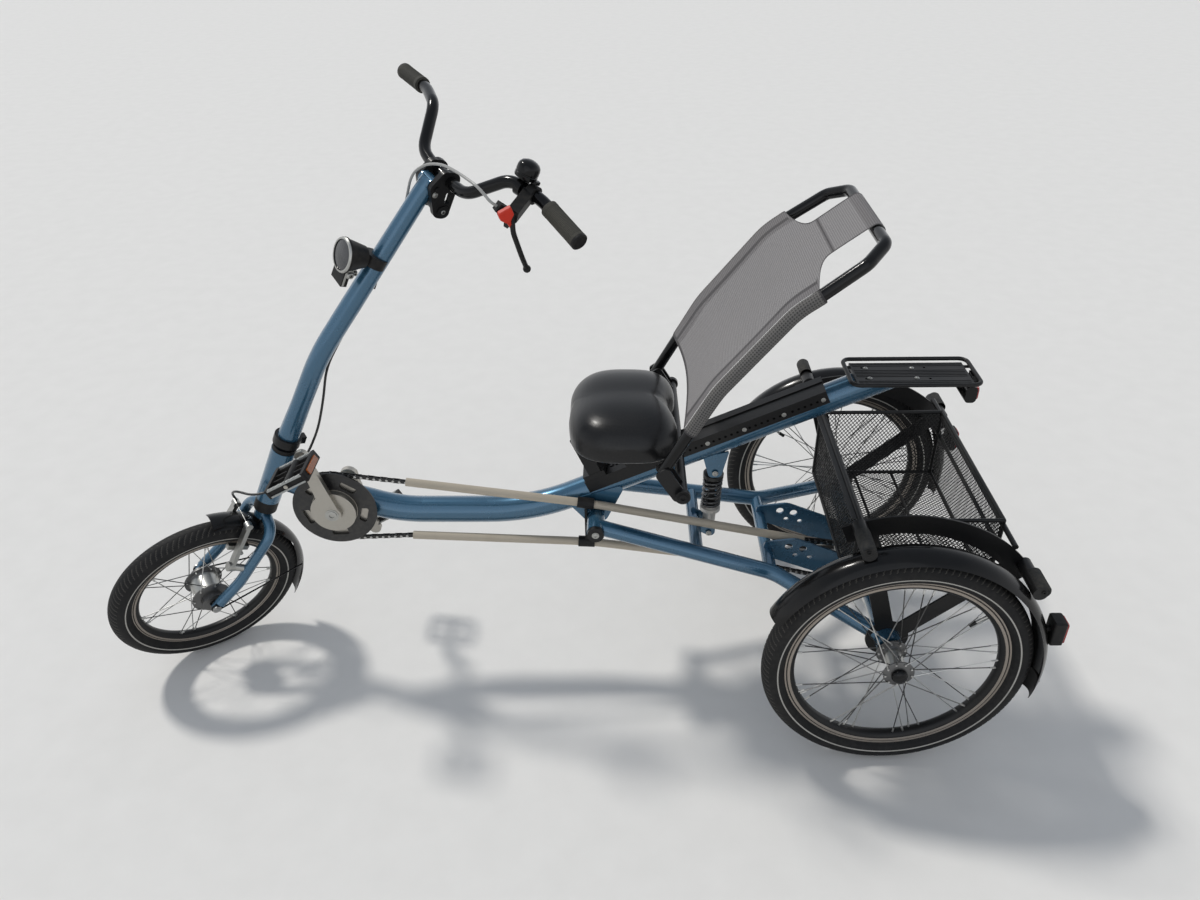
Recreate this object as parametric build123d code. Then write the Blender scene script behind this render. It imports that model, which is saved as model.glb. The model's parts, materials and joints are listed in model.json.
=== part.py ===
# Recumbent trike: one steered front wheel, two rear wheels and a sprung rear arm.
# It stands parked, with its steering turned to the left.
# X forward, Y left, Z up, in mm. Places along X are measured from the rear axle;
# at the end every piece moves back by origin_x, so that the origin is on the ground
# below the middle of the trike.
from build123d import *
from math import acos, atan2, cos, degrees, hypot, pi, radians, sin, sqrt, tan
import os

# Whole vehicle
origin_x = 648
track = 650
face_gap = 0.1  # between flat faces that rest on each other
seat_gap = 0.2  # round a tube or shaft that a piece is fastened to
run_gap = 0.05  # round a shaft that turns in its bore
rest_gap = 0.3  # between a curved face and what it lies on
cut_past = 20  # how far a cut runs on past the piece

# Wheels: tyre radius and half thickness, rim, hub, spokes and axle
rear = dict(tyre=250, fat=24, rim_out=209.5, rim_in=188, rim_half=13, flange=29, flange_at=27,
            barrel=17, hub_half=33, spokes=36, lean=33, axle=8)
front = dict(tyre=199.5, fat=23.5, rim_out=158.5, rim_in=140, rim_half=12, flange=40, flange_at=26,
             barrel=31, hub_half=44, spokes=28, lean=38, axle=5)
bead_half = 14
rim_well_half = 5
rim_well_tall = 7
hub_wall = 5
flange_thick = 4
hub_cap = 7
spoke_width = 2.2
spoke_inset = 4  # from the flange's edge to a spoke's foot
spoke_short = 0.6  # from a spoke's tip to the rim
spoke_offset = 3  # of a spoke's tip from the rim's middle

# Steering axis and fork
head_angle = 64.6
axis_ground_x = 1444
fork_rake = 74
steer_angle = 38.5
steerer_r = 14.3
steerer_in_post = 70
head_low = 262
head_high = 395
head_r = 25
cup_wall = 3
cup_r = 24
cup_low_tall = 28
cup_high_tall = 9
cup_deep = 12
crown_t = 222
crown_drop = 10
crown_boss = 4
leg_r = 11.5
leg_half = 57
leg_knee = (38, 70)  # x and height of the leg's bend
leg_end = (68, 12)
leg_bends = (34, 120)
dropout_half = 52
dropout_thick = 6
dropout_edge = ((-18, 26, 3), (-2, 26, 3), (11, 0, 9), (0, -11, 9), (-12, -4, 6))  # x, z, corner radius
axle_nut_r = 9
axle_nut = 4.4
stay_eye = 2

# Post, stem, handlebar and grips, measured up the steering axis and back from it
post_low = 411
post_knee = 630
post_bend_half = 120
post_bend_r = 420
post_top = 1020
post_top_back = 112
post_low_r = 22
post_high_r = 17
post_mid_r = 19.5
post_knee_back = 10
post_eye_r = 14
post_eye_drop = 8
collar_tall = 18
collar_wall = 5
collar_lug = (14, 16, 16)
stem_inside = 18
stem_plate = 11
stem_bolt_r = 5
stem_bolt_past = 3
stem_barrel = (-140, 972)
stem_barrel_r = 12
stem_edge = 14
stem_window = ((-146, 988, 4), (-136, 988, 4), (-134, 1010, 4), (-144, 1010, 4))
bar_r = 11
bar_clamp_wall = 8
bar_up = 1030
bar_back = 134
bar_flat = (40, 82)  # y of the ends of the straight middle and of the first bend
bar_lift = 6
bar_shoulder = (30, 140, 2)  # back of the stem, out to the side, below the grip
bar_bends = (120, 50, 50, 60)
grip_up = 1104
grip_back = 186
grip_out = 208
grip_end = 318
grip_end_up = 1092
grip_end_back = 197
grip_r = 15.5
grip_start = 22
grip_cap = 3

# Front boom and inclined rail tube
boom_r = 28
boom_front = (1229, 457)
boom_dip = (975, 372)
boom_bends = (300, 430)
boom_neck = (1168, 436.6)
boom_neck_r = 21
rail_foot = (698, 371)
rail_end = (-70, 717)
rail_cut_z = 683
rail_high_x = 108
rail_low_x = 572
rail_wide = 60
rail_tall = 27
rail_proud = 5
rail_groove = (20, 2.5)
rail_tooth = (6, 12, 4)
rail_tooth_low = 2
rail_tooth_step = 12
rail_teeth_long = 144

# Bottom bracket, cranks, chainring and chain
crank_x = 1097
crank_z = 412
crank_angle = 75
crank_length = 145
shell_r = 21
shell_half = 34
spindle_r = 8.5
spindle_past = 6
chain_y = 44
ring_r = 76
ring_thick = 3
guard_r = 86
guard_side = 5
guard_thick = 3
guard_windows = 5
guard_turn = 20
guard_window = ((52, -15, 4), (67, -19, 4), (67, 19, 4), (52, 15, 4))
disc_r = 46
disc_short = 3
tooth_deep = 4.5
link_pitch = 12.7
link_long = 9
chain_core = 4
chain_tall = 8.4
chain_wide = 6.4
chain_rise = 1  # of the chain's lower edge above the wheel's pitch circle
sprocket_r = 44.6
sprocket_bore = 30
drum_steps = ((38, -52), (45, -40), (45, 26), (38, 34))  # radius and place across
tube_r = 8.5
tube_bore = 6.7
tube_bend = 900
mouth_inside = 4
upper_run = ((945, 472), (578, 417), (132, 320))  # x and z of a tube's ends and its clamp
lower_run = ((946, 337), (578, 318), (262, 268))
clamp_r = 11.5
clamp_long = 34
clamp_ahead = 6
clamp_strap = (5, 12, 92)
arm_y = 69
arm_thick = 13
arm_wide = 34
arm_end_wide = 20
arm_boss_r = 19
arm_eye_r = 13
pedal_y = 132
pedal_half = 43
pedal_long = 96
pedal_thick = 20
pedal_middle = 15
pedal_edge = 11
pedal_rail = 10
pedal_hub_r = 10
pedal_reflector = (8, 53, 14)
pedal_tilt = 28
pedal_pin_r = 4

# Rear arm
pivot_x = 563
pivot_z = 384
pivot_half = 100
pivot_r = 18
pivot_bolt_r = 8
pivot_cap = 9
lug_y = 28.5
lug_thick = 5
lug_edge = ((62, 29, 8), (20, -22, 16), (-20, -22, 16), (-62, 70, 8))
arm_tube_r = 16
arm_bend_r = 90
housing_r = 25
housing_long = 40
hub_clear = 6  # between a bearing housing and the hub beside it
axle_z = rear["tyre"]
housing_out = track / 2 - rear["hub_half"] - hub_clear
housing_in = housing_out - housing_long
arm_front = (pivot_x, pivot_z + 2, 81)  # x, z and y of the side tube
arm_bend = (205, axle_z + 53, 127)
arm_rear = (14, axle_z + 4, housing_out - 34)
axle_tube_r = 19
stub_short = 1
cross_x = (358, 209)
cross_tube_r = 13
plate_y = 62
plate_thick = 5
plate_edge = ((216, 80, 8), (150, 88, 40), (60, 50, 30), (-26, 12, 18), (-20, -24, 14), (90, -4, 40),
              (216, 46, 8))
plate_slots = ((165, 68, 8), (135, 62, 8), (150, 46, 5), (120, 40, 5))  # x, z from the axle, radius

# Damper and spring
shock_top = (321, 474)
shock_low = (327, 322)
damper = dict(rod_r=7, can_r=13, eye_r=10, collar=14, collar_thick=8, seat=96, can=84)
spring_r = 21
spring_core = 16
coil_pitch = 12.2
ear_y = 17
ear_thick = 5
eye_bolt_r = 4
eye_bolt_past = 6
top_ear_edge = ((26, 38, 2), (12, -12, 11), (-12, -12, 11), (-26, 50, 2))
low_ear_edge = ((36, 40, 2), (36, 12, 2), (-13, -16, 10), (-13, 14, 10))

# Seat
seat_x = 508
seat_z = 612
seat_long = 208
seat_wide = 284
seat_thick = 82
seat_soft = 34
seat_taper = 32
seat_groove_r = 60
seat_groove_deep = 14
seat_corners = (50, 60, 60, 6)
back_half = 190
back_r = 11
back_line = ((437, 592), (345, 757), (225, 905))  # x and z up the side tubes of the backrest
back_top = ((118, 14, 981), (84, 52, 1000))  # x, place inside the side tubes, z
back_bends = (200, 160, 26, 26)
mesh_low = (384, 690)
mesh_rise = 3.2
mesh_thick = 1.8
mesh_way = (0.78, 0.62)
mesh_past = 8
mesh_bends = (190, 150)
hinge_x = 400
hinge_z = 553
hinge_r = 10
hinge_past = 3
knob_r = 14
knob_long = 9
strap_thick = 5
carriage_wide = 66
carriage_rise = 7
carriage_blocks = ((440, 100, 14), (548, 46, 12))  # x, length and height
strut_foot = (562, 478)
strut_head_x = 600
strut_y = 30
strut_section = (5, 26)
tray = (200, 60, 10)
tray_grip = 4  # how far a strut reaches up into the tray
bracket_head_x = 420
bracket_section = (50, 12)

# Luggage
rack_front = 79
rack_rear = -162
rack_z = 692
rack_half = 53
rack_wire_r = 4
rack_bend = 16
rack_bar_y = 30
rack_plate = 6
rack_plate_x = -42
rack_plate_long = 218
rack_plate_wide = 84
rack_hole_mid = -13.5
rack_hole_x = 60
rack_hole_y = 22
rack_hole_r = 2.6
tail_block = (22, 60, 34)
tail_round = 8
tail_tab = (10, 24, 17)
tail_lap = 3
basket_front = 69
basket_rear = -196
basket_top = 485
basket_low = 326
basket_half = 196
basket_wall = 2.5
basket_band = 6
basket_bar = 6  # between the openings of the basket's walls
basket_cells = dict(long=6, wide=9, tall=3)

# Mudguards and side arches of the rear wheels
guard_clear = 24  # from the tyre to the crown of its mudguard
guard_drop = 16
guard_half = 31
guard_wall = 2
guard_low = 27
guard_high = 187
guard_top_r = rear["tyre"] + guard_clear
guard_lip_r = guard_top_r - guard_drop
arch_y = housing_out - 28
arch_out = guard_top_r + 20
arch_in = guard_top_r - 18
arch_thick = 4
arch_span = (66, 146)
arch_stays = (74, 138)
arch_stay_wide = 34
arch_stay_lap = 14
arch_disc = 16
bumper_r = 13.5
bumper_past = 18
bumper_angles = (72, 140)
hanger_r = 5  # rails of the basket that lie on the arches
hanger_past = 4

# Front mudguard: crown and lip radius, half width, angles above +X and thickness
front_guard = dict(top=214, lip=204, half=27, low=80, high=190, wall=1.8, stay=162)
guard_block = (16, 22, 28)
guard_block_x = 4
stay_r = 1.8
stay_eye_r = 11
stay_foot = (-10, -2)

# Front brake arm: x and height of its boss and its head, and half the space between the arms
brake_boss = (62, 112)
brake_head = (46, 218)
brake_half = (46, 35)
brake_arm = (9, 15)
brake_post = (24, 106, 8)
brake_boss_r = 10
brake_boss_span = (-6, 8)
brake_head_r = 8
brake_head_half = 7
brake_wire_r = 1
pad_at = (48, 22.6, 147)
pad_size = (46, 11, 11)
pad_lean = 10
pad_pin_r = 4

# Lamp, bell, lever and cable of the handlebar
lamp_up = 850
lamp_x = 4
lamp_r = 31
lamp_deep = 38
lamp_rim = (32.5, 5)
lamp_tail_r = 20
lamp_reflector = (12, 40, 34)
lamp_reflector_at = (-4, -37)  # x and height from the lamp's middle, as for the two below
lamp_arm = ((-30, 0), (-66, -4))
lamp_clamp = ((-59, -14), (-63, 6))
lamp_arm_r = 6
lamp_clamp_wall = 4
bell_at = 28
bell_clamp = (6, 4)  # half length and wall
bell_r = 20
bell_foot_r = 6
bell_foot = 19
bell_skirt = 12
bell_striker = (4, 8)
bell_striker_end = (-8, 30)
lever_at = 50
lever_clamp = (8, 5)
lever_root = (8, 0, -4)
lever_nose = (-98, 212, 1084)
lever_joint = (-130, 218, 1074)
lever_blade = ((-136, 230, 1050), (-168, 236, 1012), (-197, 230, 985))
lever_blade_r = 4.5
lever_ball_r = 7
lever_body = (20, 24)
lever_nose_section = (15, 16)
lever_bends = (24, 60)
latch_section = (8, 16)
latch = ((-4, -12, -4), (-16, -18, -26))  # its ends from the lever's joint
cable_r = 2.5
cable_clip = (11, 11, 13)
clip_ups = (790, 650)

# Derived places
head = radians(head_angle)
steer = radians(steer_angle)
lean_z = cos(head) * sin(steer)
post_lean = atan2(post_top_back - post_knee_back, post_top - post_knee)
front_centre_z = (front["tyre"] - front["fat"]) * sqrt(1 - lean_z**2) + front["fat"]
foot_z = front_centre_z - fork_rake * cos(head) * cos(steer)
foot_x = axis_ground_x - foot_z / tan(head)
axis_plane = Plane(origin=(foot_x, 0, foot_z), x_dir=(sin(head), 0, cos(head)),
                   z_dir=(-cos(head), 0, sin(head)))
parked = Location(axis_plane) * Rot(0, 0, steer_angle)
rail_slope = atan2(rail_end[1] - rail_foot[1], rail_foot[0] - rail_end[0])
rail_place = Location(Plane(origin=(rail_end[0], 0, rail_end[1]),
                            x_dir=(cos(rail_slope), 0, -sin(rail_slope)),
                            z_dir=(sin(rail_slope), 0, cos(rail_slope))))
seat_low = seat_z - seat_thick / 2
tray_low = seat_low - rest_gap - tray[2]
strap_y = back_half - back_r - seat_gap - strap_thick / 2
stay_eye_y = dropout_half + dropout_thick + 0.4
stem_half = stem_inside + stem_plate
hanger_front = (basket_front, axle_z + basket_front * tan(radians(arch_stays[0])))
hanger_rear = (basket_rear, axle_z + sqrt((arch_out + hanger_r + rest_gap)**2 - basket_rear**2))


def cylinder(start, end, radius):
    """A round bar from one point to another."""
    run = Vector(*end) - Vector(*start)
    return extrude(Plane(origin=start, z_dir=run) * Circle(radius), run.length)


def cross_bar(x, z, half, radius):
    """A round bar from side to side, centred on the plane of symmetry."""
    return cylinder((x, -half, z), (x, half, z), radius)


def cone(start, end, radius, end_radius):
    """A tapered bar from one point to another."""
    run = Vector(*end) - Vector(*start)
    return Plane(origin=start, z_dir=run) * Pos(0, 0, run.length / 2) * Cone(radius, end_radius, run.length)


def pipe(points, radius, bends):
    """A round tube along straight runs joined by arcs, one bend radius for each corner."""
    path = FilletPolyline(*points, radius=bends)
    return sweep(Plane(origin=path @ 0, z_dir=path % 0) * Circle(radius), path=path)


def flat_bar(start, end, wide, thick, up=(0, 0, 1)):
    """A rectangular bar; wide lies across the bar and the up direction."""
    run = Vector(*end) - Vector(*start)
    across = Vector(*up).cross(run)
    return extrude(Plane(origin=start, x_dir=across, z_dir=run) * Rectangle(wide, thick), run.length)


def turned(sketch):
    """A sketch of radius against place along the axle, turned about a Y axle."""
    return Rot(-90, 0, 0) * revolve(Plane.XZ * sketch, Axis.Z)


def at_side(outline, y, thick):
    """A plate of an outline in X and Z, from y to y + thick."""
    face = Plane(origin=(0, y + thick, 0), x_dir=(1, 0, 0), z_dir=(0, -1, 0)) * outline
    return extrude(face, thick)


def rounded(rows, centre=(0, 0)):
    """A closed outline from rows of x, z and corner radius, placed about a centre."""
    points = [(centre[0] + x, centre[1] + z) for x, z, _ in rows]
    return make_face(FilletPolyline(*points, radius=[row[2] for row in rows], close=True))


def around(radius, angle, y=0, centre=(0, 0)):
    """A point at a radius and an angle above +X, in the plane of a wheel."""
    a = radians(angle)
    return (centre[0] + radius * cos(a), y, centre[1] + radius * sin(a))


def arc_plate(r_in, r_out, low, high, y, thick, centre):
    """A flat arc between two radii and two angles above +X."""
    mid = (low + high) / 2
    points = [around(r, a, 0, centre) for r, a in ((r_in, low), (r_in, mid), (r_in, high),
                                                    (r_out, high), (r_out, mid), (r_out, low))]
    p = [(x, z) for x, _, z in points]
    edge = [ThreePointArc(p[0], p[1], p[2]), Line(p[2], p[3]),
            ThreePointArc(p[3], p[4], p[5]), Line(p[5], p[0])]
    return at_side(make_face(edge), y, thick)


def bowed(top, lip, half, wall):
    """Section of a mudguard: two arcs from lip to lip, in radius against place across."""
    outer = ThreePointArc((lip, -half), (top, 0), (lip, half))
    inner = ThreePointArc((lip, half - wall), (top - wall, 0), (lip, -half + wall))
    return make_face([outer, Line(outer @ 1, inner @ 0), inner, Line(inner @ 1, outer @ 0)])


def toothed(pitch_radius, thick):
    """A flat wheel whose teeth are spaced by the chain's pitch."""
    count = round(2 * pi * pitch_radius / link_pitch)
    step = 360 / count
    root = pitch_radius - tooth_deep
    points = []
    for i in range(count):
        for share, radius in ((-0.2, pitch_radius), (0.2, pitch_radius), (0.36, root), (0.64, root)):
            x, _, z = around(radius, (i + share) * step)
            points.append((x, z))
    return at_side(make_face(Polyline(*points, close=True)), -thick / 2, thick)


# Wheels, each about a Y axle through the origin

def tyre(wheel):
    """Tyre with a section of short flats, open towards the rim."""
    middle, fat = wheel["tyre"] - wheel["fat"], wheel["fat"]
    low = wheel["rim_out"] + seat_gap
    points = [(middle + fat * cos(radians(a)), fat * sin(radians(a))) for a in range(-120, 121, 30)]
    return turned(make_face(Polyline((low, -bead_half), *points, (low, bead_half), close=True)))


def rim(wheel):
    """Rim with flat brake tracks and a shallow well towards the hub."""
    out, low, half = wheel["rim_out"], wheel["rim_in"], wheel["rim_half"]
    shoulder = low + rim_well_tall
    outline = [(low, -rim_well_half), (shoulder, -half), (out, -half), (out, half), (shoulder, half),
               (low, rim_well_half)]
    return turned(make_face(Polyline(*outline, close=True)))


def hub(wheel, cap):
    """Barrel, two flanges and crossed spokes that end just inside the rim."""
    half, at, flange, barrel = (wheel[k] for k in ("hub_half", "flange_at", "flange", "barrel"))
    nose = wheel["axle"] + hub_wall
    body = cross_bar(0, 0, half, nose) + cross_bar(0, 0, at, barrel)
    for side in (-1, 1):
        inner = side * at - flange_thick / 2
        body += cylinder((0, inner, 0), (0, inner + flange_thick, 0), flange)
    if cap:
        body += cylinder((0, half, 0), (0, half + hub_cap, 0), nose)
    bars = []
    for i in range(wheel["spokes"]):
        side = 1 if i % 2 else -1
        angle = 360 * i / wheel["spokes"]
        lean = wheel["lean"] if (i // 2) % 2 else -wheel["lean"]
        foot = around(flange - spoke_inset, angle, side * at)
        tip = around(wheel["rim_in"] - spoke_short, angle + lean, side * spoke_offset)
        bars.append(flat_bar(foot, tip, spoke_width, spoke_width, (0, 1, 0)))
    body += bars
    return body - cylinder((0, -half - cut_past, 0), (0, half, 0), wheel["axle"] + run_gap)


# Frame body

def boom_tube(gap):
    """Boom and inclined rail tube with its level upper end, thicker by a gap."""
    points = [(x, 0, z) for x, z in (boom_neck, boom_dip, rail_foot, rail_end)]
    above = Pos(rail_end[0], 0, rail_cut_z + 2 * boom_r) * Box(12 * boom_r, 4 * boom_r, 4 * boom_r)
    return pipe(points, boom_r + gap, boom_bends) - above


def rail_at(x):
    """Distance down the rail tube from its rear end to a place along X."""
    return (x - rail_end[0]) / cos(rail_slope)


def main_frame():
    """Head tube, boom, inclined rail tube, bottom bracket shell, pivot and shock lugs."""
    frame = boom_tube(0)
    frame += cone((boom_neck[0], 0, boom_neck[1]), (boom_front[0], 0, boom_front[1]), boom_r - rest_gap,
                  boom_neck_r)
    frame += axis_plane * cylinder((0, 0, head_low), (0, 0, head_high), head_r)
    frame += cross_bar(crank_x, crank_z, shell_half, shell_r)
    for side in (-1, 1):
        frame += at_side(rounded(lug_edge, (pivot_x, pivot_z)), side * lug_y - lug_thick / 2, lug_thick)
        frame += at_side(rounded(top_ear_edge, shock_top), side * ear_y - ear_thick / 2, ear_thick)
    frame -= axis_plane * cylinder((0, 0, head_low - cut_past), (0, 0, head_high + cut_past),
                                   steerer_r + cup_wall)
    frame -= cross_bar(crank_x, crank_z, shell_half + cut_past, spindle_r + run_gap)
    frame -= cross_bar(pivot_x, pivot_z, lug_y + cut_past, pivot_bolt_r + seat_gap)
    return frame - cross_bar(*shock_top, ear_y + cut_past, eye_bolt_r + seat_gap)


def headset_cups():
    """Bearing cups pressed into both ends of the head tube."""
    bore = cylinder((0, 0, head_low - 2 * cup_low_tall), (0, 0, head_high + 2 * cup_low_tall),
                    steerer_r + run_gap)
    cups = []
    for face, out, tall in ((head_low, -1, cup_low_tall), (head_high, 1, cup_high_tall)):
        cup = cylinder((0, 0, face + out * face_gap), (0, 0, face + out * tall), cup_r)
        cup += cylinder((0, 0, face + out * tall / 2), (0, 0, face - out * cup_deep),
                        steerer_r + cup_wall - seat_gap)
        cups.append(cup - bore)
    return axis_plane * Compound(cups)


def pivot_bolt():
    """Axle of the rear arm with its two end caps."""
    out = pivot_half + pivot_cap
    bolt = cross_bar(pivot_x, pivot_z, out, pivot_bolt_r)
    for side in (-1, 1):
        bolt += cylinder((pivot_x, side * (pivot_half + seat_gap), pivot_z), (pivot_x, side * out, pivot_z),
                         pivot_r - 1)
    return bolt


def swing_arm():
    """Pivot sleeves, two side tubes, two cross tubes, drive plates and bearing housings."""
    plate = rounded(plate_edge, (0, axle_z))
    for x, z, r in plate_slots:
        plate -= Pos(x, axle_z + z) * Circle(r)
    arm = cross_bar(0, axle_z, housing_in, axle_tube_r)
    for side in (-1, 1):
        arm += pipe([(x, side * y, z) for x, z, y in (arm_front, arm_bend, arm_rear)], arm_tube_r, [arm_bend_r])
        arm += cylinder((pivot_x, side * (lug_y + lug_thick / 2 + rest_gap), pivot_z),
                        (pivot_x, side * pivot_half, pivot_z), pivot_r)
        arm += cylinder((0, side * housing_in, axle_z), (0, side * housing_out, axle_z), housing_r)
        arm += at_side(plate, side * plate_y - plate_thick / 2, plate_thick)
    for x in cross_x:
        share = (arm_front[0] - x) / (arm_front[0] - arm_bend[0])
        z = arm_front[1] + share * (arm_bend[1] - arm_front[1])
        half = arm_front[2] + share * (arm_bend[2] - arm_front[2])
        arm += cross_bar(x, z, half, cross_tube_r)
    for side in (-1, 1):
        arm += at_side(rounded(low_ear_edge, shock_low), side * ear_y - ear_thick / 2, ear_thick)
    arm -= cross_bar(pivot_x, pivot_z, pivot_half + cut_past, pivot_bolt_r + seat_gap)
    arm -= cross_bar(0, axle_z, housing_out + cut_past, rear["axle"] + face_gap)
    return arm - cross_bar(*shock_low, ear_y + cut_past, eye_bolt_r + seat_gap)


def axle_shaft():
    """Shaft through the arm, with the stubs that carry the wheels."""
    return cross_bar(0, axle_z, track / 2 + rear["hub_half"] - stub_short, rear["axle"])


def gear_drum():
    """Gear drum and sprocket round the middle of the axle tube."""
    bore = axle_tube_r + seat_gap
    outer = chain_y + flange_thick
    outline = [(bore, drum_steps[0][1]), *drum_steps, (drum_steps[-1][0], outer), (bore, outer)]
    drum = turned(make_face(Polyline(*outline, close=True)))
    drum += Pos(0, chain_y, 0) * toothed(sprocket_r, ring_thick) - cross_bar(0, 0, 2 * chain_y, sprocket_bore)
    return Pos(0, 0, axle_z) * drum


def shock_places():
    """Top eye of the damper and the direction from it to the lower eye."""
    top = Vector(shock_top[0], 0, shock_top[1])
    low = Vector(shock_low[0], 0, shock_low[1])
    return top, (low - top).normalized(), (low - top).length


def shock_body():
    """Damper with an eye at each end and its two bolts."""
    top, run, length = shock_places()
    body = cylinder(top, top + run * length, damper["rod_r"])
    for collar in (damper["collar"], damper["seat"]):
        body += cylinder(top + run * collar, top + run * (collar + damper["collar_thick"]), spring_r)
    body += cylinder(top + run * damper["can"], top + run * (length - damper["eye_r"]), damper["can_r"])
    for eye in (shock_top, shock_low):
        body += cross_bar(*eye, ear_y - ear_thick / 2 - rest_gap, damper["eye_r"])
        body += cross_bar(*eye, ear_y + eye_bolt_past, eye_bolt_r)
    return body


def shock_spring():
    """Coils round the damper between its two collars."""
    top, run, _ = shock_places()
    start = damper["collar"] + damper["collar_thick"] + rest_gap
    length = damper["seat"] - rest_gap - start
    bore = damper["can_r"] + rest_gap
    turns = round(length / coil_pitch)
    outline = [(bore, 0)]
    for i in range(turns):
        for share, radius in ((0.1, spring_core), (0.25, spring_r), (0.6, spring_r), (0.75, spring_core)):
            outline.append((radius, (i + share) * length / turns))
    outline.append((bore, length))
    spring = revolve(Plane.XZ * make_face(Polyline(*outline, close=True)), Axis.Z)
    return Location(Plane(origin=top + run * start, z_dir=run)) * spring


def seat_rail():
    """Toothed rail profile along the top of the inclined tube."""
    start, end = rail_at(rail_high_x), rail_at(rail_low_x)
    length = end - start
    top = boom_r + rail_proud
    wide, deep = rail_groove
    body = Pos(start + length / 2, 0, top - rail_tall / 2) * Box(length, rail_wide, rail_tall)
    body -= Pos(start + length / 2, 0, 0) * Rot(0, 90, 0) * Cylinder(boom_r + seat_gap, length + cut_past)
    body -= Pos(start + length / 2, 0, top) * Box(length + cut_past, wide, 2 * deep)
    teeth = [Pos(end - rail_tooth_step * (i + 1), 0, boom_r + rail_tooth_low + rail_tooth[2] / 2)
             * Box(*rail_tooth) for i in range(int(rail_teeth_long / rail_tooth_step))]
    return rail_place * (body + teeth)


def seat_carriage():
    """Sliding block, front strut, hinge tube and straps that carry saddle and backrest."""
    strap_out = back_half + back_r + seat_gap + strap_thick
    foot = back_line[0]
    strap = rounded([(hinge_x - 16, hinge_z - 14, 12), (hinge_x + 14, hinge_z - 16, 12),
                     (foot[0] + 15, foot[1] + 4, 9), (foot[0] - 9, foot[1] + 20, 9)])
    block = cross_bar(hinge_x, hinge_z, strap_out + hinge_past, hinge_r)
    for x, length, tall in carriage_blocks:
        block += (rail_place * Pos(rail_at(x), 0, boom_r + carriage_rise + tall / 2)
                  * Box(length, carriage_wide, tall))
    for side in (-1, 1):
        block += flat_bar((strut_foot[0], side * strut_y, strut_foot[1]),
                          (strut_head_x, side * strut_y, tray_low + tray_grip), *strut_section, (1, 0, 0))
        for y in (side * strap_y, side * (2 * back_half - strap_y)):
            block += at_side(strap, y - strap_thick / 2, strap_thick)
        block += cylinder((hinge_x, side * strap_out, hinge_z),
                          (hinge_x, side * (strap_out + knob_long), hinge_z), knob_r)
    block += Pos(seat_x, 0, tray_low + tray[2] / 2) * Box(*tray)
    block += flat_bar((hinge_x, 0, hinge_z + hinge_r / 2), (bracket_head_x, 0, tray_low + tray_grip),
                      *bracket_section, (1, 0, 0))
    return block - boom_tube(seat_gap)


def saddle():
    """Wide padded saddle, rounded at its corners, with a groove between its two lobes."""
    half, wide = seat_long / 2, seat_wide / 2
    edge = [(half, 0.42 * wide), (0.35 * half, wide), (-0.9 * half, wide), (-half, 0.15 * wide)]
    rows = [(x, y, r) for (x, y), r in zip(edge, seat_corners)]
    outline = rounded(rows + [(x, -y, r) for x, y, r in reversed(rows)])
    body = extrude(Plane.XY * outline, seat_thick - seat_soft)
    body += extrude(Plane.XY.offset(seat_thick - seat_soft) * outline, seat_soft, taper=seat_taper)
    groove_z = seat_thick + seat_groove_r - seat_groove_deep
    body -= cylinder((-seat_long, 0, groove_z), (seat_long, 0, groove_z), seat_groove_r)
    return Pos(seat_x, 0, seat_low) * body


def back_frame():
    """Bent tube loop of the backrest."""
    points = [(x, back_half, z) for x, z in back_line]
    points += [(x, back_half - inside, z) for x, inside, z in back_top]
    points += [(x, -y, z) for x, y, z in reversed(points)]
    return pipe(points, back_r, [*back_bends, *reversed(back_bends)])


def back_mesh():
    """Fabric stretched over the loop."""
    rise = back_r + mesh_rise
    line = [mesh_low, back_line[1], back_line[2], (back_top[0][0], back_top[0][2])]
    bends = (0.5, *mesh_bends, 0.5)
    rows = [(x + mesh_way[0] * rise, z + mesh_way[1] * rise, r) for (x, z), r in zip(line, bends)]
    under = [(x - mesh_way[0] * mesh_thick, z - mesh_way[1] * mesh_thick, r) for x, z, r in reversed(rows)]
    return at_side(rounded(rows + under), -back_half - mesh_past, 2 * (back_half + mesh_past))


def rack():
    """Wire loop round a plate with four screw holes, on the level top of the rail tube."""
    points = [(rack_front, rack_half), (rack_rear, rack_half), (rack_rear, -rack_half),
              (rack_front, -rack_half)]
    loop = FilletPolyline(*[(x, y, rack_z) for x, y in points], radius=[rack_bend] * 4, close=True)
    frame = sweep(Plane(origin=loop @ 0, z_dir=loop % 0) * Circle(rack_wire_r), path=loop)
    plate_z = rail_cut_z + face_gap + rack_plate / 2
    for y in (-rack_bar_y, rack_bar_y):
        frame += cylinder((rack_rear, y, plate_z), (rack_front, y, plate_z), rack_plate / 2)
    frame += Pos(rack_plate_x, 0, plate_z) * Box(rack_plate_long, rack_plate_wide, rack_plate)
    for x in (-rack_hole_x, rack_hole_x):
        for y in (-rack_hole_y, rack_hole_y):
            frame -= Pos(rack_hole_mid + x, y, plate_z) * Cylinder(rack_hole_r, 2 * rack_plate)
    return frame


def tail_light():
    """Lamp that hangs on a bracket below the rear bar of the carrier."""
    under = rack_z - rack_wire_r - rest_gap
    body = Pos(rack_rear + tail_round, 0, under - tail_tab[2] + tail_lap - tail_block[2] / 2) * Box(*tail_block)
    body = fillet(body.edges().filter_by(Axis.Y), tail_round)
    return body + Pos(rack_rear, 0, under - tail_tab[2] / 2) * Box(*tail_tab)


def grid(long, wide, columns, rows):
    """Even openings of a wall that leave a bar between them and round them, as cutting boxes."""
    step_x, step_y = (long - basket_bar) / columns, (wide - basket_bar) / rows
    opening = Box(step_x - basket_bar, step_y - basket_bar, 4 * basket_wall)
    return [Pos((i + 0.5 - columns / 2) * step_x, (j + 0.5 - rows / 2) * step_y, 0) * opening
            for i in range(columns) for j in range(rows)]


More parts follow.
